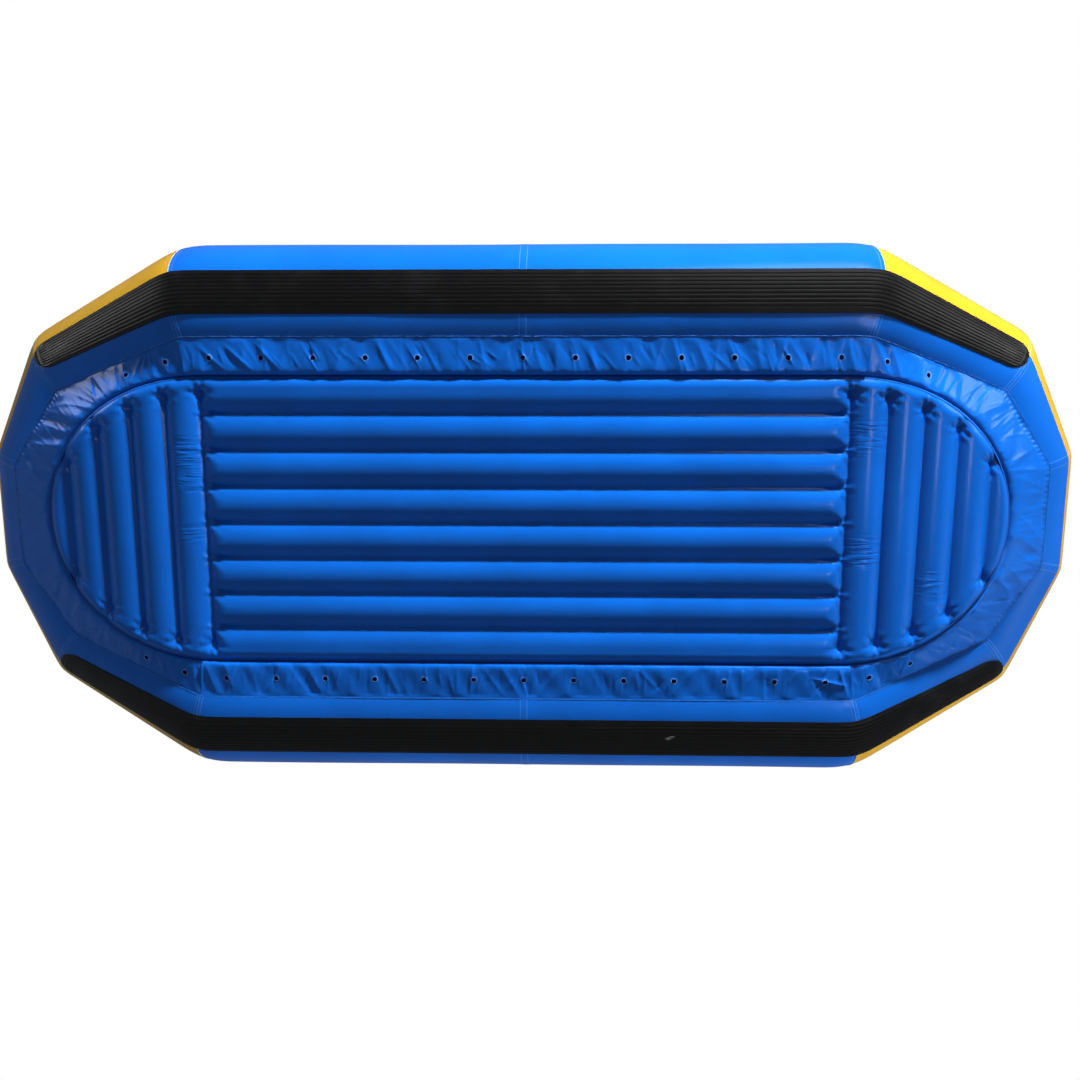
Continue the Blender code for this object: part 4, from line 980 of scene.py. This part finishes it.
def apronColumns(metres, seed):
    # the apron lies on the tube, spans to the floor and lies on the floor. Returns its points, its shares
    # across the span, the span at each place and the four phases drawn for its waves
    lapDegrees = math.degrees(aprons["lap"] / hull["radius"])
    outDegrees = math.degrees(aprons["out"] / hull["radius"])
    lift = aprons["lift"]
    weld = softRing(metres, lines["weld"], lift, -outDegrees)[:, 0]
    seam = floorSeam(weld, aprons["seamSlope"], lift)
    holeShares = aprons["across"] + holeSteps * (aprons["ringStep"] / aprons["span"])
    shares = np.concatenate([
        np.linspace(0, holeShares[0], aprons["innerColumns"], endpoint=False),
        holeShares,
        np.linspace(holeShares[-1], 1, 13)[1:],
    ])
    random.seed(seed)
    phases = [random.uniform(0, 6.28) for _ in range(4)]
    wavy = 1 + 0.05 * np.sin(metres * 31 + phases[0]) + 0.05 * np.sin(metres * 83 + phases[1])
    laps = []
    for share in (1.0, 0.93, 0.7, 0.45, 0.2):
        turnBy = -outDegrees - (share * lapDegrees * wavy)[:, None]
        laps.append(softRing(metres, lines["weld"], lift * (0.55 if share == 1 else 1), turnBy))
    span = weld[:, None] + shares[None, :, None] * (seam - weld)[:, None]
    hems = []
    for slope in aprons["hemSlopes"]:
        last = slope == aprons["hemSlopes"][-1]
        hems.append(floorSeam(weld, slope, lift * (0.4 if last else 1.0))[:, None])
    return np.concatenate([*laps, span, *hems], axis=1), shares, np.linalg.norm(seam - weld, axis=1), phases


def shapeHoles(points, rows, column, normals, outwards):
    # draws the grid into a ring round each hole. Returns the distance from the rim and what lies in a hole
    block, cut = aprons["block"], aprons["cut"]
    inHole = np.zeros(points.shape[:2], bool)
    rim = np.full(points.shape[:2], 1.0)
    ring = np.maximum(np.abs(holeSteps)[:, None], np.abs(holeSteps)[None])
    for row in rows:
        centre = points[row, column].copy()
        part = (slice(row - block, row + block + 1), slice(column - block, column + block + 1))
        spots = points[part] - centre
        away = np.maximum(np.linalg.norm(spots, axis=-1), 1e-9)
        ideal = aprons["hole"] * np.maximum(ring, 1) / cut / away
        grown = 1 + np.clip((block - ring) / (block - cut), 0, 1) * (ideal - 1)
        shaped = centre + spots * np.where(ring > 0, grown, 1)[..., None]
        fromRim = np.linalg.norm(shaped - centre, axis=-1) - aprons["hole"]
        shaped += (outwards * 0.0007 * smoothStep(0.005, 0.001, fromRim))[..., None] * normals[part]
        points[part] = shaped
        rim[part] = fromRim
        inHole[part] |= ring < cut
    return rim, inHole


def buildApron(name, first, last, seed):
    holes = drainMetres(first, last)
    metres = apronRows(first, last, holes)
    points, shares, spans, phases = apronColumns(metres, seed)
    atEnd = name in ("bow", "stern")
    span = spans[:, None]
    lapped = [-0.0060, -0.0056, -0.0042, -0.0027, -0.0012]
    hemmed = [0.003, 0.007, 0.011, 0.0135, 0.0145]
    s = metres - metres[0]
    t = np.repeat(np.concatenate([lapped, shares * 0, hemmed])[None], len(s), 0)
    t[:, len(lapped):-len(hemmed)] += shares[None] * span
    t[:, -len(hemmed):] += span
    sAll = np.repeat(s[:, None], t.shape[1], 1)
    free = smoothStep(-0.002, 0.012, t) * smoothStep(0.001, 0.016, span - t)
    folds = creases(sAll, t, apronMarks(name, s, spans, seed)) + gathers(sAll, t, spans, atEnd, seed)
    billow = 0.0016 * np.sin(sAll * 23 + 1.5 * np.sin(sAll * 7 + phases[2]))
    billow = billow + 0.0010 * np.sin(sAll * 61 + t * 40 + phases[3])
    groove = -0.0009 * np.exp(-(((t - span + 0.001) / 0.0022) ** 2))
    ripple = 0.0003 * np.sin(sAll * 160) * smoothStep(0.0, -0.006, t)
    normals = gridNormals(points)
    outwards = -np.sign(normals[..., 2].mean())
    share = np.clip(t / span, 1e-4, 1 - 1e-4)
    sag = ((0.89 / share) ** 4 + (0.11 / (1 - share)) ** 2) ** -0.25
    belly = aprons["belly"] * (aprons["endBelly"] if atEnd else 1.0) * sag
    points = points + (outwards * (free * (folds + billow) + groove + ripple + belly))[..., None] * normals
    # the cut, before its holes are punched
    diagonals = points[1:, 1:] - points[:-1, :-1], points[1:, :-1] - points[:-1, 1:]
    rows = [int(np.abs(metres - hole).argmin()) for hole in holes]
    column = len(lapped) + aprons["innerColumns"] + aprons["block"]
    rim, inHole = shapeHoles(points, rows, column, normals, outwards)
    edge = np.minimum(t - lapped[0], span + hemmed[-1] - t)
    # painted shade along the weld line, the floor seam, the hem and the dashes at the weld
    creaseAndShade = smoothStep(0.0024, 0.0008, np.abs(t)) * 0.7
    creaseAndShade = np.maximum(creaseAndShade, smoothStep(0.0026, 0.0010, np.abs(t - span)))
    creaseAndShade = np.maximum(creaseAndShade, smoothStep(0.0022, 0.0008, np.abs(t - span - 0.0140)))
    pressed = (np.sin(sAll * math.tau / 0.0105) > -0.2) * smoothStep(0.0020, 0.0008, np.abs(t + 0.0030)) * 0.6
    creaseAndShade = np.maximum(creaseAndShade, pressed)
    above = points[len(metres) // 2, points.shape[1] // 2] + (0, 0, 0.5)
    halo = smoothStep(0.0042, 0.0026, rim)
    edge = np.minimum(edge, rim + 0.0004)
    fields = {"edge": edge, "creaseAndShade": creaseAndShade, "halo": halo, "pleatX": 0.06, "pleatY": 0.06}
    obj = gridPiece(name + "Apron", points, np.stack([sAll, t], axis=-1), inside=above, **fields)
    openHoles(obj, inHole)
    thicken(obj, hull["skin"])
    return finished(obj, "blue", stands=[name + "_apron"], smooth=60)


for seed, (name, (first, last)) in enumerate(aprons["first"].items()):
    buildApron(name, first, last, 21 + seed)
print("aprons made")


# Thwarts
thwarts = {"x": 0.62, "height": 0.352, "radius": 0.19, "around": 128, "collar": 0.036, "collarLift": 0.0009}


def thwartEnd(height):
    # how far out a thwart's skin meets the side tube at a height
    below = hull["radius"] + 0.0004
    return hull["quarter"][1] - np.sqrt(np.maximum(below**2 - (height - hull["axisHeight"]) ** 2, 0))


def buildThwart(end, ahead, seed):
    turns = np.linspace(0, math.tau, thwarts["around"] + 1)[:, None]
    random.seed(seed)
    phases = [random.uniform(0, 6.28) for _ in range(5)]
    capShares = np.array([0, 0.2, 0.4, 0.6, 0.78, 0.9, 0.97])[None]
    reach = thwarts["radius"] * capShares
    height = thwarts["height"] + reach * np.cos(turns)
    capY = thwartEnd(height)
    capX = ahead * thwarts["x"] + reach * np.sin(turns)
    cap = np.stack([capX, capY, height], axis=-1)
    endY = thwartEnd(thwarts["height"] + thwarts["radius"] * np.cos(turns))
    near = np.concatenate([np.linspace(0, 0.06, 22), np.linspace(0.06, 0.49, 34)[1:]])[None]
    half = endY - near * endY / 0.49
    away = endY - half
    middleTape = np.abs(turns - math.pi) * thwarts["radius"]
    lift = thwarts["collarLift"] * smoothStep(thwarts["collar"] + 0.001, thwarts["collar"] - 0.001, away)
    lift = lift + 0.0007 * smoothStep(0.0135, 0.0120, middleTape)
    pucker = np.maximum(np.sin(turns * 37 + phases[0]) * 0.6 + np.sin(turns * 23 + phases[1]) * 0.5, 0)
    lift = lift - 0.0030 * pucker * np.exp(-away / 0.045) * smoothStep(0.004, 0.016, away)
    lift = lift + 0.0010 * np.sin(turns * 3 + half * 9 + phases[2])
    lift = lift - 0.0016 * smoothStep(0.008, 0.0, away)
    radius = thwarts["radius"] + lift
    side = np.stack([
        ahead * thwarts["x"] + radius * np.sin(turns), half, thwarts["height"] + radius * np.cos(turns),
    ], axis=-1)
    portHalf = np.concatenate([cap, side], axis=1)
    otherHalf = (portHalf * (1, -1, 1))[:, -2::-1]
    points = np.concatenate([portHalf, otherHalf], axis=1)
    flat = np.stack([np.repeat(turns * thwarts["radius"], points.shape[1], 1), points[..., 1]], axis=-1)
    line = np.concatenate([cap[..., 0] * 0 + 1, np.abs(away - thwarts["collar"]) + 0 * turns], axis=1)
    line = np.concatenate([line, line[:, -2::-1]], axis=1)
    line = np.minimum(line, np.abs(middleTape - 0.0128) + 0 * line)
    obj = gridPiece(end + "Thwart", points, flat, wrap=True, edge=line)
    finished(obj, "blue", stands=[end + "_thwart"], smooth=70)


buildThwart("bow", 1, 41)
buildThwart("stern", -1, 42)
print("thwarts made")


# Small parts turned about Z
def rounded(corners, radius, steps):
    # a profile with its inner corners rounded
    corners = np.array(corners, float)
    made = [corners[0]]
    for before, corner, after in zip(corners[:-2], corners[1:-1], corners[2:]):
        reachIn = min(radius, np.linalg.norm(corner - before) * 0.45)
        reachOut = min(radius, np.linalg.norm(after - corner) * 0.45)
        start = corner + unit(before - corner) * reachIn
        stop = corner + unit(after - corner) * reachOut
        for share in np.linspace(0, 1, steps + 1):
            made.append((1 - share) ** 2 * start + 2 * share * (1 - share) * corner + share**2 * stop)
    made.append(corners[-1])
    return np.array(made)


def turnedPiece(name, profile, facets, shape=None):
    turns = np.linspace(0, math.tau, facets + 1)[:, None]
    reach = np.repeat(profile[None, :, 0], facets + 1, 0)
    height = np.repeat(profile[None, :, 1], facets + 1, 0)
    if shape:
        reach, height = shape(turns, reach, height)
    reach[-1], height[-1] = reach[0], height[0]
    points = np.stack([reach * np.cos(turns), reach * np.sin(turns), height], axis=-1)
    run = np.concatenate([[0], np.cumsum(np.linalg.norm(np.diff(profile, axis=0), axis=1))])
    flat = np.stack([turns * 0.02 + 0 * reach, run[None] + 0 * reach], axis=-1)
    return gridPiece(name, points, flat, wrap=True)


def placedCopy(template, name, place):
    made = template.copy()
    made.data = template.data.copy()
    made.name = name
    made.data.name = name
    bpy.context.collection.objects.link(made)
    made.matrix_world = place
    return made


def dropTemplate(*templates):
    bpy.ops.object.select_all(action="DESELECT")
    for template in templates:
        template.select_set(True)
    bpy.ops.object.delete()


def frameOf(x, y, z, origin):
    made = Matrix((x, y, z)).transposed().to_4x4()
    made.translation = origin
    return made


def tubeFrame(x, port, degrees):
    turn = math.radians(degrees)
    outward = Vector((0, port * math.cos(turn), -math.sin(turn)))
    along = Vector((port, 0, 0))
    centre = Vector((x, port * hull["quarter"][1], hull["axisHeight"]))
    return frameOf(along, outward.cross(along), outward, centre + hull["radius"] * outward)


def thwartFrame(ahead):
    outward = Vector((-ahead * math.sqrt(0.5), 0, math.sqrt(0.5)))
    across = Vector((0, 1, 0))
    centre = Vector((ahead * thwarts["x"], 0.30, thwarts["height"]))
    return frameOf(-outward.cross(across), across, outward, centre + thwarts["radius"] * outward)


def floorFrame(y):
    height = floor["middle"] + float(floorRise(np.array(1.02))) + floor["halfWeb"] + floor["crown"]
    return Matrix.Translation((1.02, y, height))


# Inflation valves and the floor's relief valve
valves = {"flange": 0.028, "top": 0.0033, "bore": 0.0118, "barrel": 0.017, "depth": 0.028, "cap": 0.0225,
          "side": 0.95, "turn": -140.0, "boss": 0.052, "bossHole": 0.0292, "bossLift": 0.0011}


def notchedFlange(turns, reach, height):
    outer = between(reach, 0.0236, 0.0243, 0.0270, 0.0283) * (height > 0.002)
    notch = smoothStep(0.55, 0.8, np.cos(turns * 12))
    return reach - 0.0006 * notch * (reach > 0.0270), height + outer * (0.0014 - 0.0016 * notch)


def flutedCap(turns, reach, height):
    rim = smoothStep(0.0212, 0.0222, reach)
    flute = np.maximum(np.cos(turns * 30), -0.2)
    return reach - 0.0005 * rim * (1 - flute) * 0.5, height


def slottedDome(turns, reach, height):
    slot = smoothStep(0.35, 0.62, np.cos(turns * 8)) * between(reach, 0.0095, 0.0110, 0.0208, 0.0222)
    return reach, height - 0.0022 * slot * (height > 0.0035)


def gripBar():
    # the bar on a valve's cap, waisted in the middle and lower at its ends
    bpy.ops.mesh.primitive_cube_add(size=1.0, location=(0, 0, 0.0117))
    grip = bpy.context.active_object
    grip.scale = (0.0375, 0.0060, 0.0076)
    alone(grip)
    bpy.ops.object.transform_apply(location=True, scale=True)
    bpy.ops.object.mode_set(mode="EDIT")
    bpy.ops.mesh.subdivide(number_cuts=5)
    bpy.ops.object.mode_set(mode="OBJECT")
    for vertex in grip.data.vertices:
        x, y, z = vertex.co
        waist = math.exp(-((x / 0.010) ** 2)) * max(0.0, (z - 0.0085) / 0.007)
        vertex.co.y = y * (1 - 0.28 * waist)
        if z > 0.0150:
            vertex.co.z = z - 0.9 * (x / 0.0187) ** 4 * 0.003
    applyModifier(grip, "BEVEL", width=0.0011, segments=3, limit_method="ANGLE", angle_limit=math.radians(35))
    return grip


def reliefDome():
    # the outline of the relief valve: a flange and barrel under a shallow dome
    flange, barrel, depth = valves["flange"], valves["barrel"], valves["depth"]
    ring = [(0, -depth), (barrel, -depth), (barrel, 0.0004), (flange, 0.0004), (flange, 0.0031),
            (0.0245, 0.0034)]
    turns = [math.radians(degrees) for degrees in range(0, 91, 5)]
    dome = [(0.024 * math.cos(turn), 0.0035 + 0.0068 * math.sin(turn)) for turn in turns]
    dome[-1] = (0, 0.0103)
    return np.concatenate([rounded(ring, 0.0005, 2)[:-1], dome])


def buildValves():
    flange, top, bore, barrel, depth = (valves[size] for size in ("flange", "top", "bore", "barrel", "depth"))
    ring = [(bore, 0.0012), (bore, top), (0.0226, top), (0.0240, top), (0.0247, top), (0.0255, top),
            (0.0265, top), (0.0272, top), (flange, top - 0.0004), (flange, 0.0004), (barrel, 0.0004),
            (barrel, -depth), (bore, -depth), (bore, 0.0012)]
    body = turnedPiece("valveBodyTemplate", rounded(ring, 0.0005, 2), 144, notchedFlange)
    capRing = [(0, 0.0018), (0.0112, 0.0018), (0.0112, 0.0037), (0.0218, 0.0037), (valves["cap"], 0.0048),
               (valves["cap"], 0.0080), (0.0212, 0.0096), (0.0178, 0.0097), (0.0166, 0.0087), (0, 0.0087)]
    cap = turnedPiece("capTemplate", rounded(capRing, 0.0007, 3), 180, flutedCap)
    grip = gripBar()
    applyModifier(cap, "BOOLEAN", object=grip, operation="UNION", solver="EXACT")
    dropTemplate(grip)
    relief = turnedPiece("reliefTemplate", reliefDome(), 144, slottedDome)
    spots = {}
    for side, port in (("port", 1), ("starboard", -1)):
        for end, ahead in (("bow", 1), ("stern", -1)):
            spots[f"{end}_{side}_valve"] = tubeFrame(ahead * valves["side"], port, valves["turn"])
    spots["bow_thwart_valve"] = thwartFrame(1)
    spots["stern_thwart_valve"] = thwartFrame(-1)
    spots["floor_valve"] = floorFrame(floor["pitch"] / 2)
    for node, place in spots.items():
        made = placedCopy(body, pieceName(node) + "Flange", place)
        finished(made, "plastic", stands=[node + "_body"], smooth=35)
        made = placedCopy(cap, pieceName(node) + "Cap", place)
        finished(made, "plastic", body=node + "_cap", stands=[node + "_cap"], smooth=35)
    made = placedCopy(relief, "floorReliefDome", floorFrame(-floor["pitch"] / 2))
    finished(made, "plastic", stands=["floor_relief_valve"], smooth=35)
    dropTemplate(body, cap, relief)
    return spots


spots = buildValves()


def patchOnTube(name, frameHere, inner, outerX, outerY, radius, lift):
    # a flat doubler laid on a round skin: a round ring, or a full patch with its corners rounded off
    turns = np.linspace(0, math.tau, 97)[:, None]
    shares = np.array([0, 0.08, 0.3, 0.6, 0.86, 0.95, 0.985, 1.0])[None]
    rimX, rimY = outerX * np.cos(turns), outerY * np.sin(turns)
    size = np.hypot(rimX, rimY)
    power = 3.2  # 2 would be an oval, and more is squarer
    square = 1.0
    if inner == 0:
        square = (np.abs(np.cos(turns)) ** power + np.abs(np.sin(turns)) ** power) ** (-1 / power)
    reach = inner + (size * square - inner) * shares
    a, b = reach * rimX / size, reach * rimY / size
    height = lift * np.sqrt(1 - np.clip((shares - 0.95) / 0.05, 0, 1) ** 2 * 0.9)
    if inner:
        height = height * (1 - 0.6 * (shares == 0))
    around = b / radius
    reached = radius + height
    local = np.stack([a, reached * np.sin(around), reached * np.cos(around) - radius], axis=-1)
    matrix = np.array(frameHere)
    points = local @ matrix[:3, :3].T + matrix[:3, 3]
    points[-1] = points[0]
    inside = Vector(matrix[:3, 3]) - 0.1 * Vector(matrix[:3, 2])
    flat = np.stack([a, b], axis=-1)
    obj = gridPiece(name, points, flat, wrap=True, inside=inside, edge=size * square - reach + 0.0003)
    thicken(obj, lift * 0.8)
    return finished(obj, "blue", smooth=60)


def dressValves():
    # a welded boss round each valve but the floor's
    for node, place in spots.items():
        radius = hull["radius"]
        if node.startswith("floor"):
            continue
        if "thwart" in node:
            place = place @ Matrix.Rotation(math.radians(90), 4, "Z")
            radius = thwarts["radius"]
        outer = valves["boss"]
        patchOnTube(pieceName(node) + "Boss", place, valves["bossHole"], outer, outer, radius, valves["bossLift"])


dressValves()
print("valves made")


# D-rings with their patches and webbing keepers
rings = {"wire": 0.003, "half": 0.028, "leg": 0.012, "corner": 0.0055, "lift": 0.0071, "rest": -7.0,
         "turn": -40.0, "pitch": 0.93, "patchHalf": 0.060, "patchTall": 0.046, "patchLift": 0.0016,
         "keeperHalf": 0.0168, "keeper": 0.0013, "keeperArch": 0.0044, "bead": 0.02, "beadHalf": 0.0016}


def dRingRoute():
    # the middle of the ring's wire: its bar, a bend and a leg, the bow, and back
    half, leg, corner = rings["half"], rings["leg"], rings["corner"]
    bend = np.linspace(0, math.pi / 2, 9)
    route = [(x, 0.0) for x in np.linspace(-half + corner, half - corner, 30)]
    route += [(half - corner + corner * math.sin(t), corner - corner * math.cos(t)) for t in bend[1:]]
    route += [(half, leg * 0.75)]
    route += [(half * math.cos(t), leg + half * math.sin(t)) for t in np.linspace(0, math.pi, 61)]
    route += [(-half, leg * 0.75)]
    route += [(-half + corner - corner * math.cos(t), corner - corner * math.sin(t)) for t in bend]
    return np.array(route)


def dRingTemplate():
    route = dRingRoute()
    along = unit(np.roll(route, -1, axis=0) - np.roll(route, 1, axis=0))
    side = np.stack([along[:, 1], -along[:, 0]], axis=-1)
    turns = np.linspace(0, math.tau, 25)
    bead = 1 + rings["bead"] * np.exp(-((route[:, 0] / rings["beadHalf"]) ** 2)) * (route[:, 1] < 0.001)
    reach = rings["wire"] * bead[:, None]
    points = np.empty((len(route), len(turns), 3))
    points[..., 0] = route[:, :1] + side[:, :1] * reach * np.cos(turns)
    points[..., 1] = route[:, 1:] + side[:, 1:] * reach * np.cos(turns)
    points[..., 2] = reach * np.sin(turns)
    points[:, -1] = points[:, 0]
    points = np.concatenate([points, points[:1]], axis=0)
    run = np.linspace(0, 0.2, len(points))
    flat = np.stack(np.meshgrid(run, turns * rings["wire"], indexing="ij"), axis=-1)
    return gridPiece("dRingTemplate", points, flat, wrap=True)


def ribbon(name, path, width, thickness, matrix, stitches, columns=61):
    # a strap that follows a path in its frame's YZ plane. Each of stitches is a sewn box and cross: where along
    # the strap it begins and ends, and half its width
    path = np.array(path)
    across = np.linspace(-width / 2, width / 2, columns)
    run = np.concatenate([[0], np.cumsum(np.linalg.norm(np.diff(path, axis=0), axis=1))])
    local = np.empty((len(path), columns, 3))
    local[..., 0] = across[None]
    local[..., 1] = path[:, :1]
    local[..., 2] = path[:, 1:]
    tangent = unit(np.gradient(path, axis=0))
    droop = -0.0004 * (np.abs(across) / (width / 2)) ** 6
    local[..., 1] += -tangent[:, 1:] * droop[None]
    local[..., 2] += tangent[:, :1] * droop[None]
    held = np.array(matrix)
    points = local @ held[:3, :3].T + held[:3, 3]
    flat = np.stack(np.meshgrid(run, across, indexing="ij"), axis=-1)
    sewn = np.zeros(points.shape[:2])
    for low, high, depth in stitches:
        corners = np.array([(low, -depth), (high, -depth), (low, depth), (high, depth)])
        for first, last in ((0, 1), (2, 3), (0, 2), (1, 3), (0, 3), (2, 1)):
            start, stop = corners[first], corners[last]
            share = np.clip(((flat - start) * (stop - start)).sum(-1) / ((stop - start) ** 2).sum(), 0, 1)
            away = np.linalg.norm(flat - start - share[..., None] * (stop - start), axis=-1)
            sewn = np.maximum(sewn, smoothStep(0.0013, 0.0005, away))
    below = Vector(held[:3, 3]) - 0.5 * Vector(held[:3, 2])
    obj = gridPiece(name, points, flat, inside=below, stitch=sewn)
    thicken(obj, thickness)
    applyModifier(obj, "BEVEL", width=thickness * 0.3, segments=2, limit_method="ANGLE",
                  angle_limit=math.radians(50))
    return obj


def buildRings():
    template = dRingTemplate()
    lean = Matrix.Translation((0, 0, rings["lift"])) @ Matrix.Rotation(math.radians(rings["rest"]), 4, "X")
    bend = rings["keeperArch"]
    arch = [(bend * math.cos(t), rings["lift"] + bend * math.sin(t)) for t in np.linspace(0, math.pi, 15)]
    tail = np.linspace(0.024, 0.0062, 12)
    fall = [(y, rings["patchLift"] + 0.0014 - y * y / (2 * hull["radius"])) for y in tail]
    path = fall + [(0.0049, 0.0042)] + arch + [(-0.0049, 0.0042)] + [(-y, z) for y, z in fall[::-1]]
    stitches = [(0.002, 0.0155, 0.0135), (0.0475, 0.061, 0.0135)]
    for side, port in (("port", 1), ("starboard", -1)):
        for place, ahead in (("aft", -1), ("middle", 0), ("forward", 1)):
            node = f"{place}_{side}_d_ring"
            label = place + side.capitalize()
            here = tubeFrame(ahead * rings["pitch"], port, rings["turn"])
            ring = placedCopy(template, label + "Ring", here @ lean)
            finished(ring, "steel", body=node, stands=[node], smooth=60)
            patchOnTube(label + "RingPatch", here, 0, rings["patchHalf"], rings["patchTall"], hull["radius"],
                        rings["patchLift"])
            strap = ribbon(label + "Keeper", path, 2 * rings["keeperHalf"], rings["keeper"], here, stitches)
            finished(strap, "webbing", smooth=50)
    dropTemplate(template)


buildRings()
print("D-rings made")


# Carry handles
handles = {"spot": (2.2094, 0.6278), "lift": 0.0012, "tilt": 26.5, "inner": 0.075, "outer": 0.125,
           "height": 0.042, "width": 0.034, "thickness": 0.0040, "footLift": 0.0043}


def buildHandle(end, ahead):
    turn = math.radians(handles["tilt"])
    outward = Vector((ahead * math.cos(turn), 0, math.sin(turn)))
    side = Vector((0, 1, 0))
    origin = Vector((ahead * handles["spot"][0], 0, handles["spot"][1])) + handles["lift"] * outward
    here = frameOf(side.cross(outward), side, outward, origin)
    foot = np.linspace(handles["outer"], handles["inner"] + 0.006, 26)
    arch = [(0.0765 * math.cos(t) * (1 - 0.03 * math.sin(t)), 0.0045 + handles["height"] * math.sin(t) ** 0.9)
            for t in np.linspace(0.10, math.pi - 0.10, 61)]
    low = handles["footLift"]
    path = [(y, low) for y in foot] + arch + [(-y, low) for y in foot[::-1]]
    strap = ribbon(end + "Handle", path, handles["width"], handles["thickness"], here,
                   [(0.005, 0.038, 0.0125), (0.2285, 0.2615, 0.0125)])
    finished(strap, "webbing", stands=[end + "_carry_handle"], smooth=50)


buildHandle("bow", 1)
buildHandle("stern", -1)
print("carry handles made")


# CAD nodes that stay
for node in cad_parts:
    look = "poppet" if node.endswith("_poppet") else "inner" if node.endswith("_diaphragm") else None
    if look:
        bpy.data.objects[node].material_slots[0].material = looks[look]


# Camera, light and floor

view = {"place": (0.152, -0.530, -3.5256), "turnX": -0.166, "turnY": -0.025, "focal": 948.9, "pixels": 1080}


def buildCamera():
    bpy.ops.object.camera_add()
    camera = bpy.context.active_object
    camera.name = "photoCamera"
    turn = Matrix.Rotation(view["turnY"], 3, "Y") @ Matrix.Rotation(view["turnX"], 3, "X")
    right, above, ahead = turn @ Vector((1, 0, 0)), turn @ Vector((0, -1, 0)), turn @ Vector((0, 0, 1))
    matrix = Matrix((right, above, -ahead)).transposed().to_4x4()
    matrix.translation = view["place"]
    camera.matrix_world = matrix
    camera.data.sensor_width = 36.0
    camera.data.lens = 36.0 * view["focal"] / view["pixels"]
    camera.data.clip_end = 100.0
    bpy.context.scene.camera = camera


# The key light comes from starboard and slightly below. A sheen lamp shows in the gloss only, and the other
# lamps never show there
lamps = {
    "key": {"place": (3.6, -7.8, -1.55), "size": 0.8, "power": 1600, "sheen": False},
    "keySheen": {"place": (3.2, -7.9, -2.1), "size": 3.8, "power": 115, "sheen": True},
    "portSide": {"place": (7.0, 7.0, 1.2), "size": 3.0, "power": 820, "sheen": False},
    "fillLow": {"place": (-1.0, 0.5, -7.0), "size": 5.0, "power": 17, "sheen": False},
    "bowSide": {"place": (9.0, 3.0, -1.6), "size": 3.0, "power": 130, "sheen": False},
    "sternSide": {"place": (-9.0, 1.0, -1.4), "size": 3.0, "power": 75, "sheen": False},
    "sternSheen": {"place": (-8.2, -3.9, -0.1), "size": 2.4, "power": 42, "sheen": True},
    "bowSheen": {"place": (8.2, -3.8, -0.5), "size": 2.6, "power": 50, "sheen": True},
    "bowGloss": {"place": (3.7, -0.1, -5.6), "size": 1.1, "power": 15, "sheen": True},
    "topKey": {"place": (2.5, -3.0, 7.0), "size": 3.0, "power": 420, "sheen": False},
    "topFill": {"place": (-3.5, 3.5, 6.5), "size": 4.0, "power": 240, "sheen": False},
    "topSheen": {"place": (0.6, 1.6, 9.0), "size": 2.2, "power": 170, "sheen": True},
}


def buildLamps():
    for name, lamp in lamps.items():
        bpy.ops.object.light_add(type="AREA", location=lamp["place"])
        obj = bpy.context.active_object
        obj.name = name
        obj.data.shape = "DISK"
        obj.data.size = lamp["size"]
        obj.data.energy = lamp["power"]
        obj.visible_glossy = lamp["sheen"]
        obj.visible_diffuse = not lamp["sheen"]
        aim = Vector((0, 0, 0.2)) - Vector(lamp["place"])
        obj.rotation_euler = aim.to_track_quat("-Z", "Y").to_euler()


def buildFloor():
    # pale ground under the raft. It shows from above only, so a view from below sees the raft through it
    bpy.ops.mesh.primitive_plane_add(size=400, location=(0, 0, -0.0015))
    ground = bpy.context.active_object
    ground.name = "paleGround"
    look = Look("paleGroundLook", Roughness=0.8)
    place = look.place()
    tone = look.noise(place, 3.0, 3)
    look.paint(Base_Color=look.blended(tone * 0.3, (0.86, 0.86, 0.86), (0.82, 0.82, 0.83)))
    clear = look.node("ShaderNodeBsdfTransparent")
    white = look.node("ShaderNodeEmission", values={"Color": (1, 1, 1), "Strength": 1.0})
    away = look.node("ShaderNodeVectorMath", {"operation": "LENGTH"}, {0: place}, out=1)
    lit = Wire(look, look.shader.outputs[0])
    faded = look.node("ShaderNodeMixShader", values={0: 0.5 + 0.5 * away.eased(1.6, 6.0), 1: lit, 2: white})
    seen = look.node("ShaderNodeLightPath", out="Is Camera Ray")
    back = look.node("ShaderNodeNewGeometry", out="Backfacing")
    mixedIn = look.node("ShaderNodeMixShader", values={0: seen * (1 - back), 1: clear, 2: faded})
    look.tree.links.new(mixedIn.socket, look.tree.nodes["Material Output"].inputs["Surface"])
    ground.data.materials.append(look.material)


class Sky(Look):
    # a world with its nodes

    def __init__(self, name):
        self.world = bpy.data.worlds.new(name)
        self.world.use_nodes = True
        self.tree = self.world.node_tree


def buildSky():
    # white to the camera and a dim blue to the raft. In the gloss the white shows weakly, because in full it
    # would veil the blue
    sky = Sky("studioSky")
    bpy.context.scene.world = sky.world
    straight = sky.node("ShaderNodeLightPath", out="Is Camera Ray")
    glossy = sky.node("ShaderNodeLightPath", out="Is Glossy Ray")
    through = sky.node("ShaderNodeLightPath", out="Is Transmission Ray")
    seen = straight.atLeast((glossy * 0.05).atLeast(through))
    plain = sky.tree.nodes["Background"]
    sky.give(plain.inputs["Color"], (0.75, 0.80, 0.88))
    sky.give(plain.inputs["Strength"], 0.105)
    white = sky.node("ShaderNodeBackground", values={"Color": (1, 1, 1)})
    values = {0: seen, 1: Wire(sky, plain.outputs[0]), 2: white}
    mix = sky.node("ShaderNodeMixShader", values=values)
    sky.tree.links.new(mix.socket, sky.tree.nodes["World Output"].inputs["Surface"])


buildCamera()
buildLamps()
buildFloor()
buildSky()
bpy.context.scene.view_settings.view_transform = "Standard"
print("camera, lamps and floor placed")
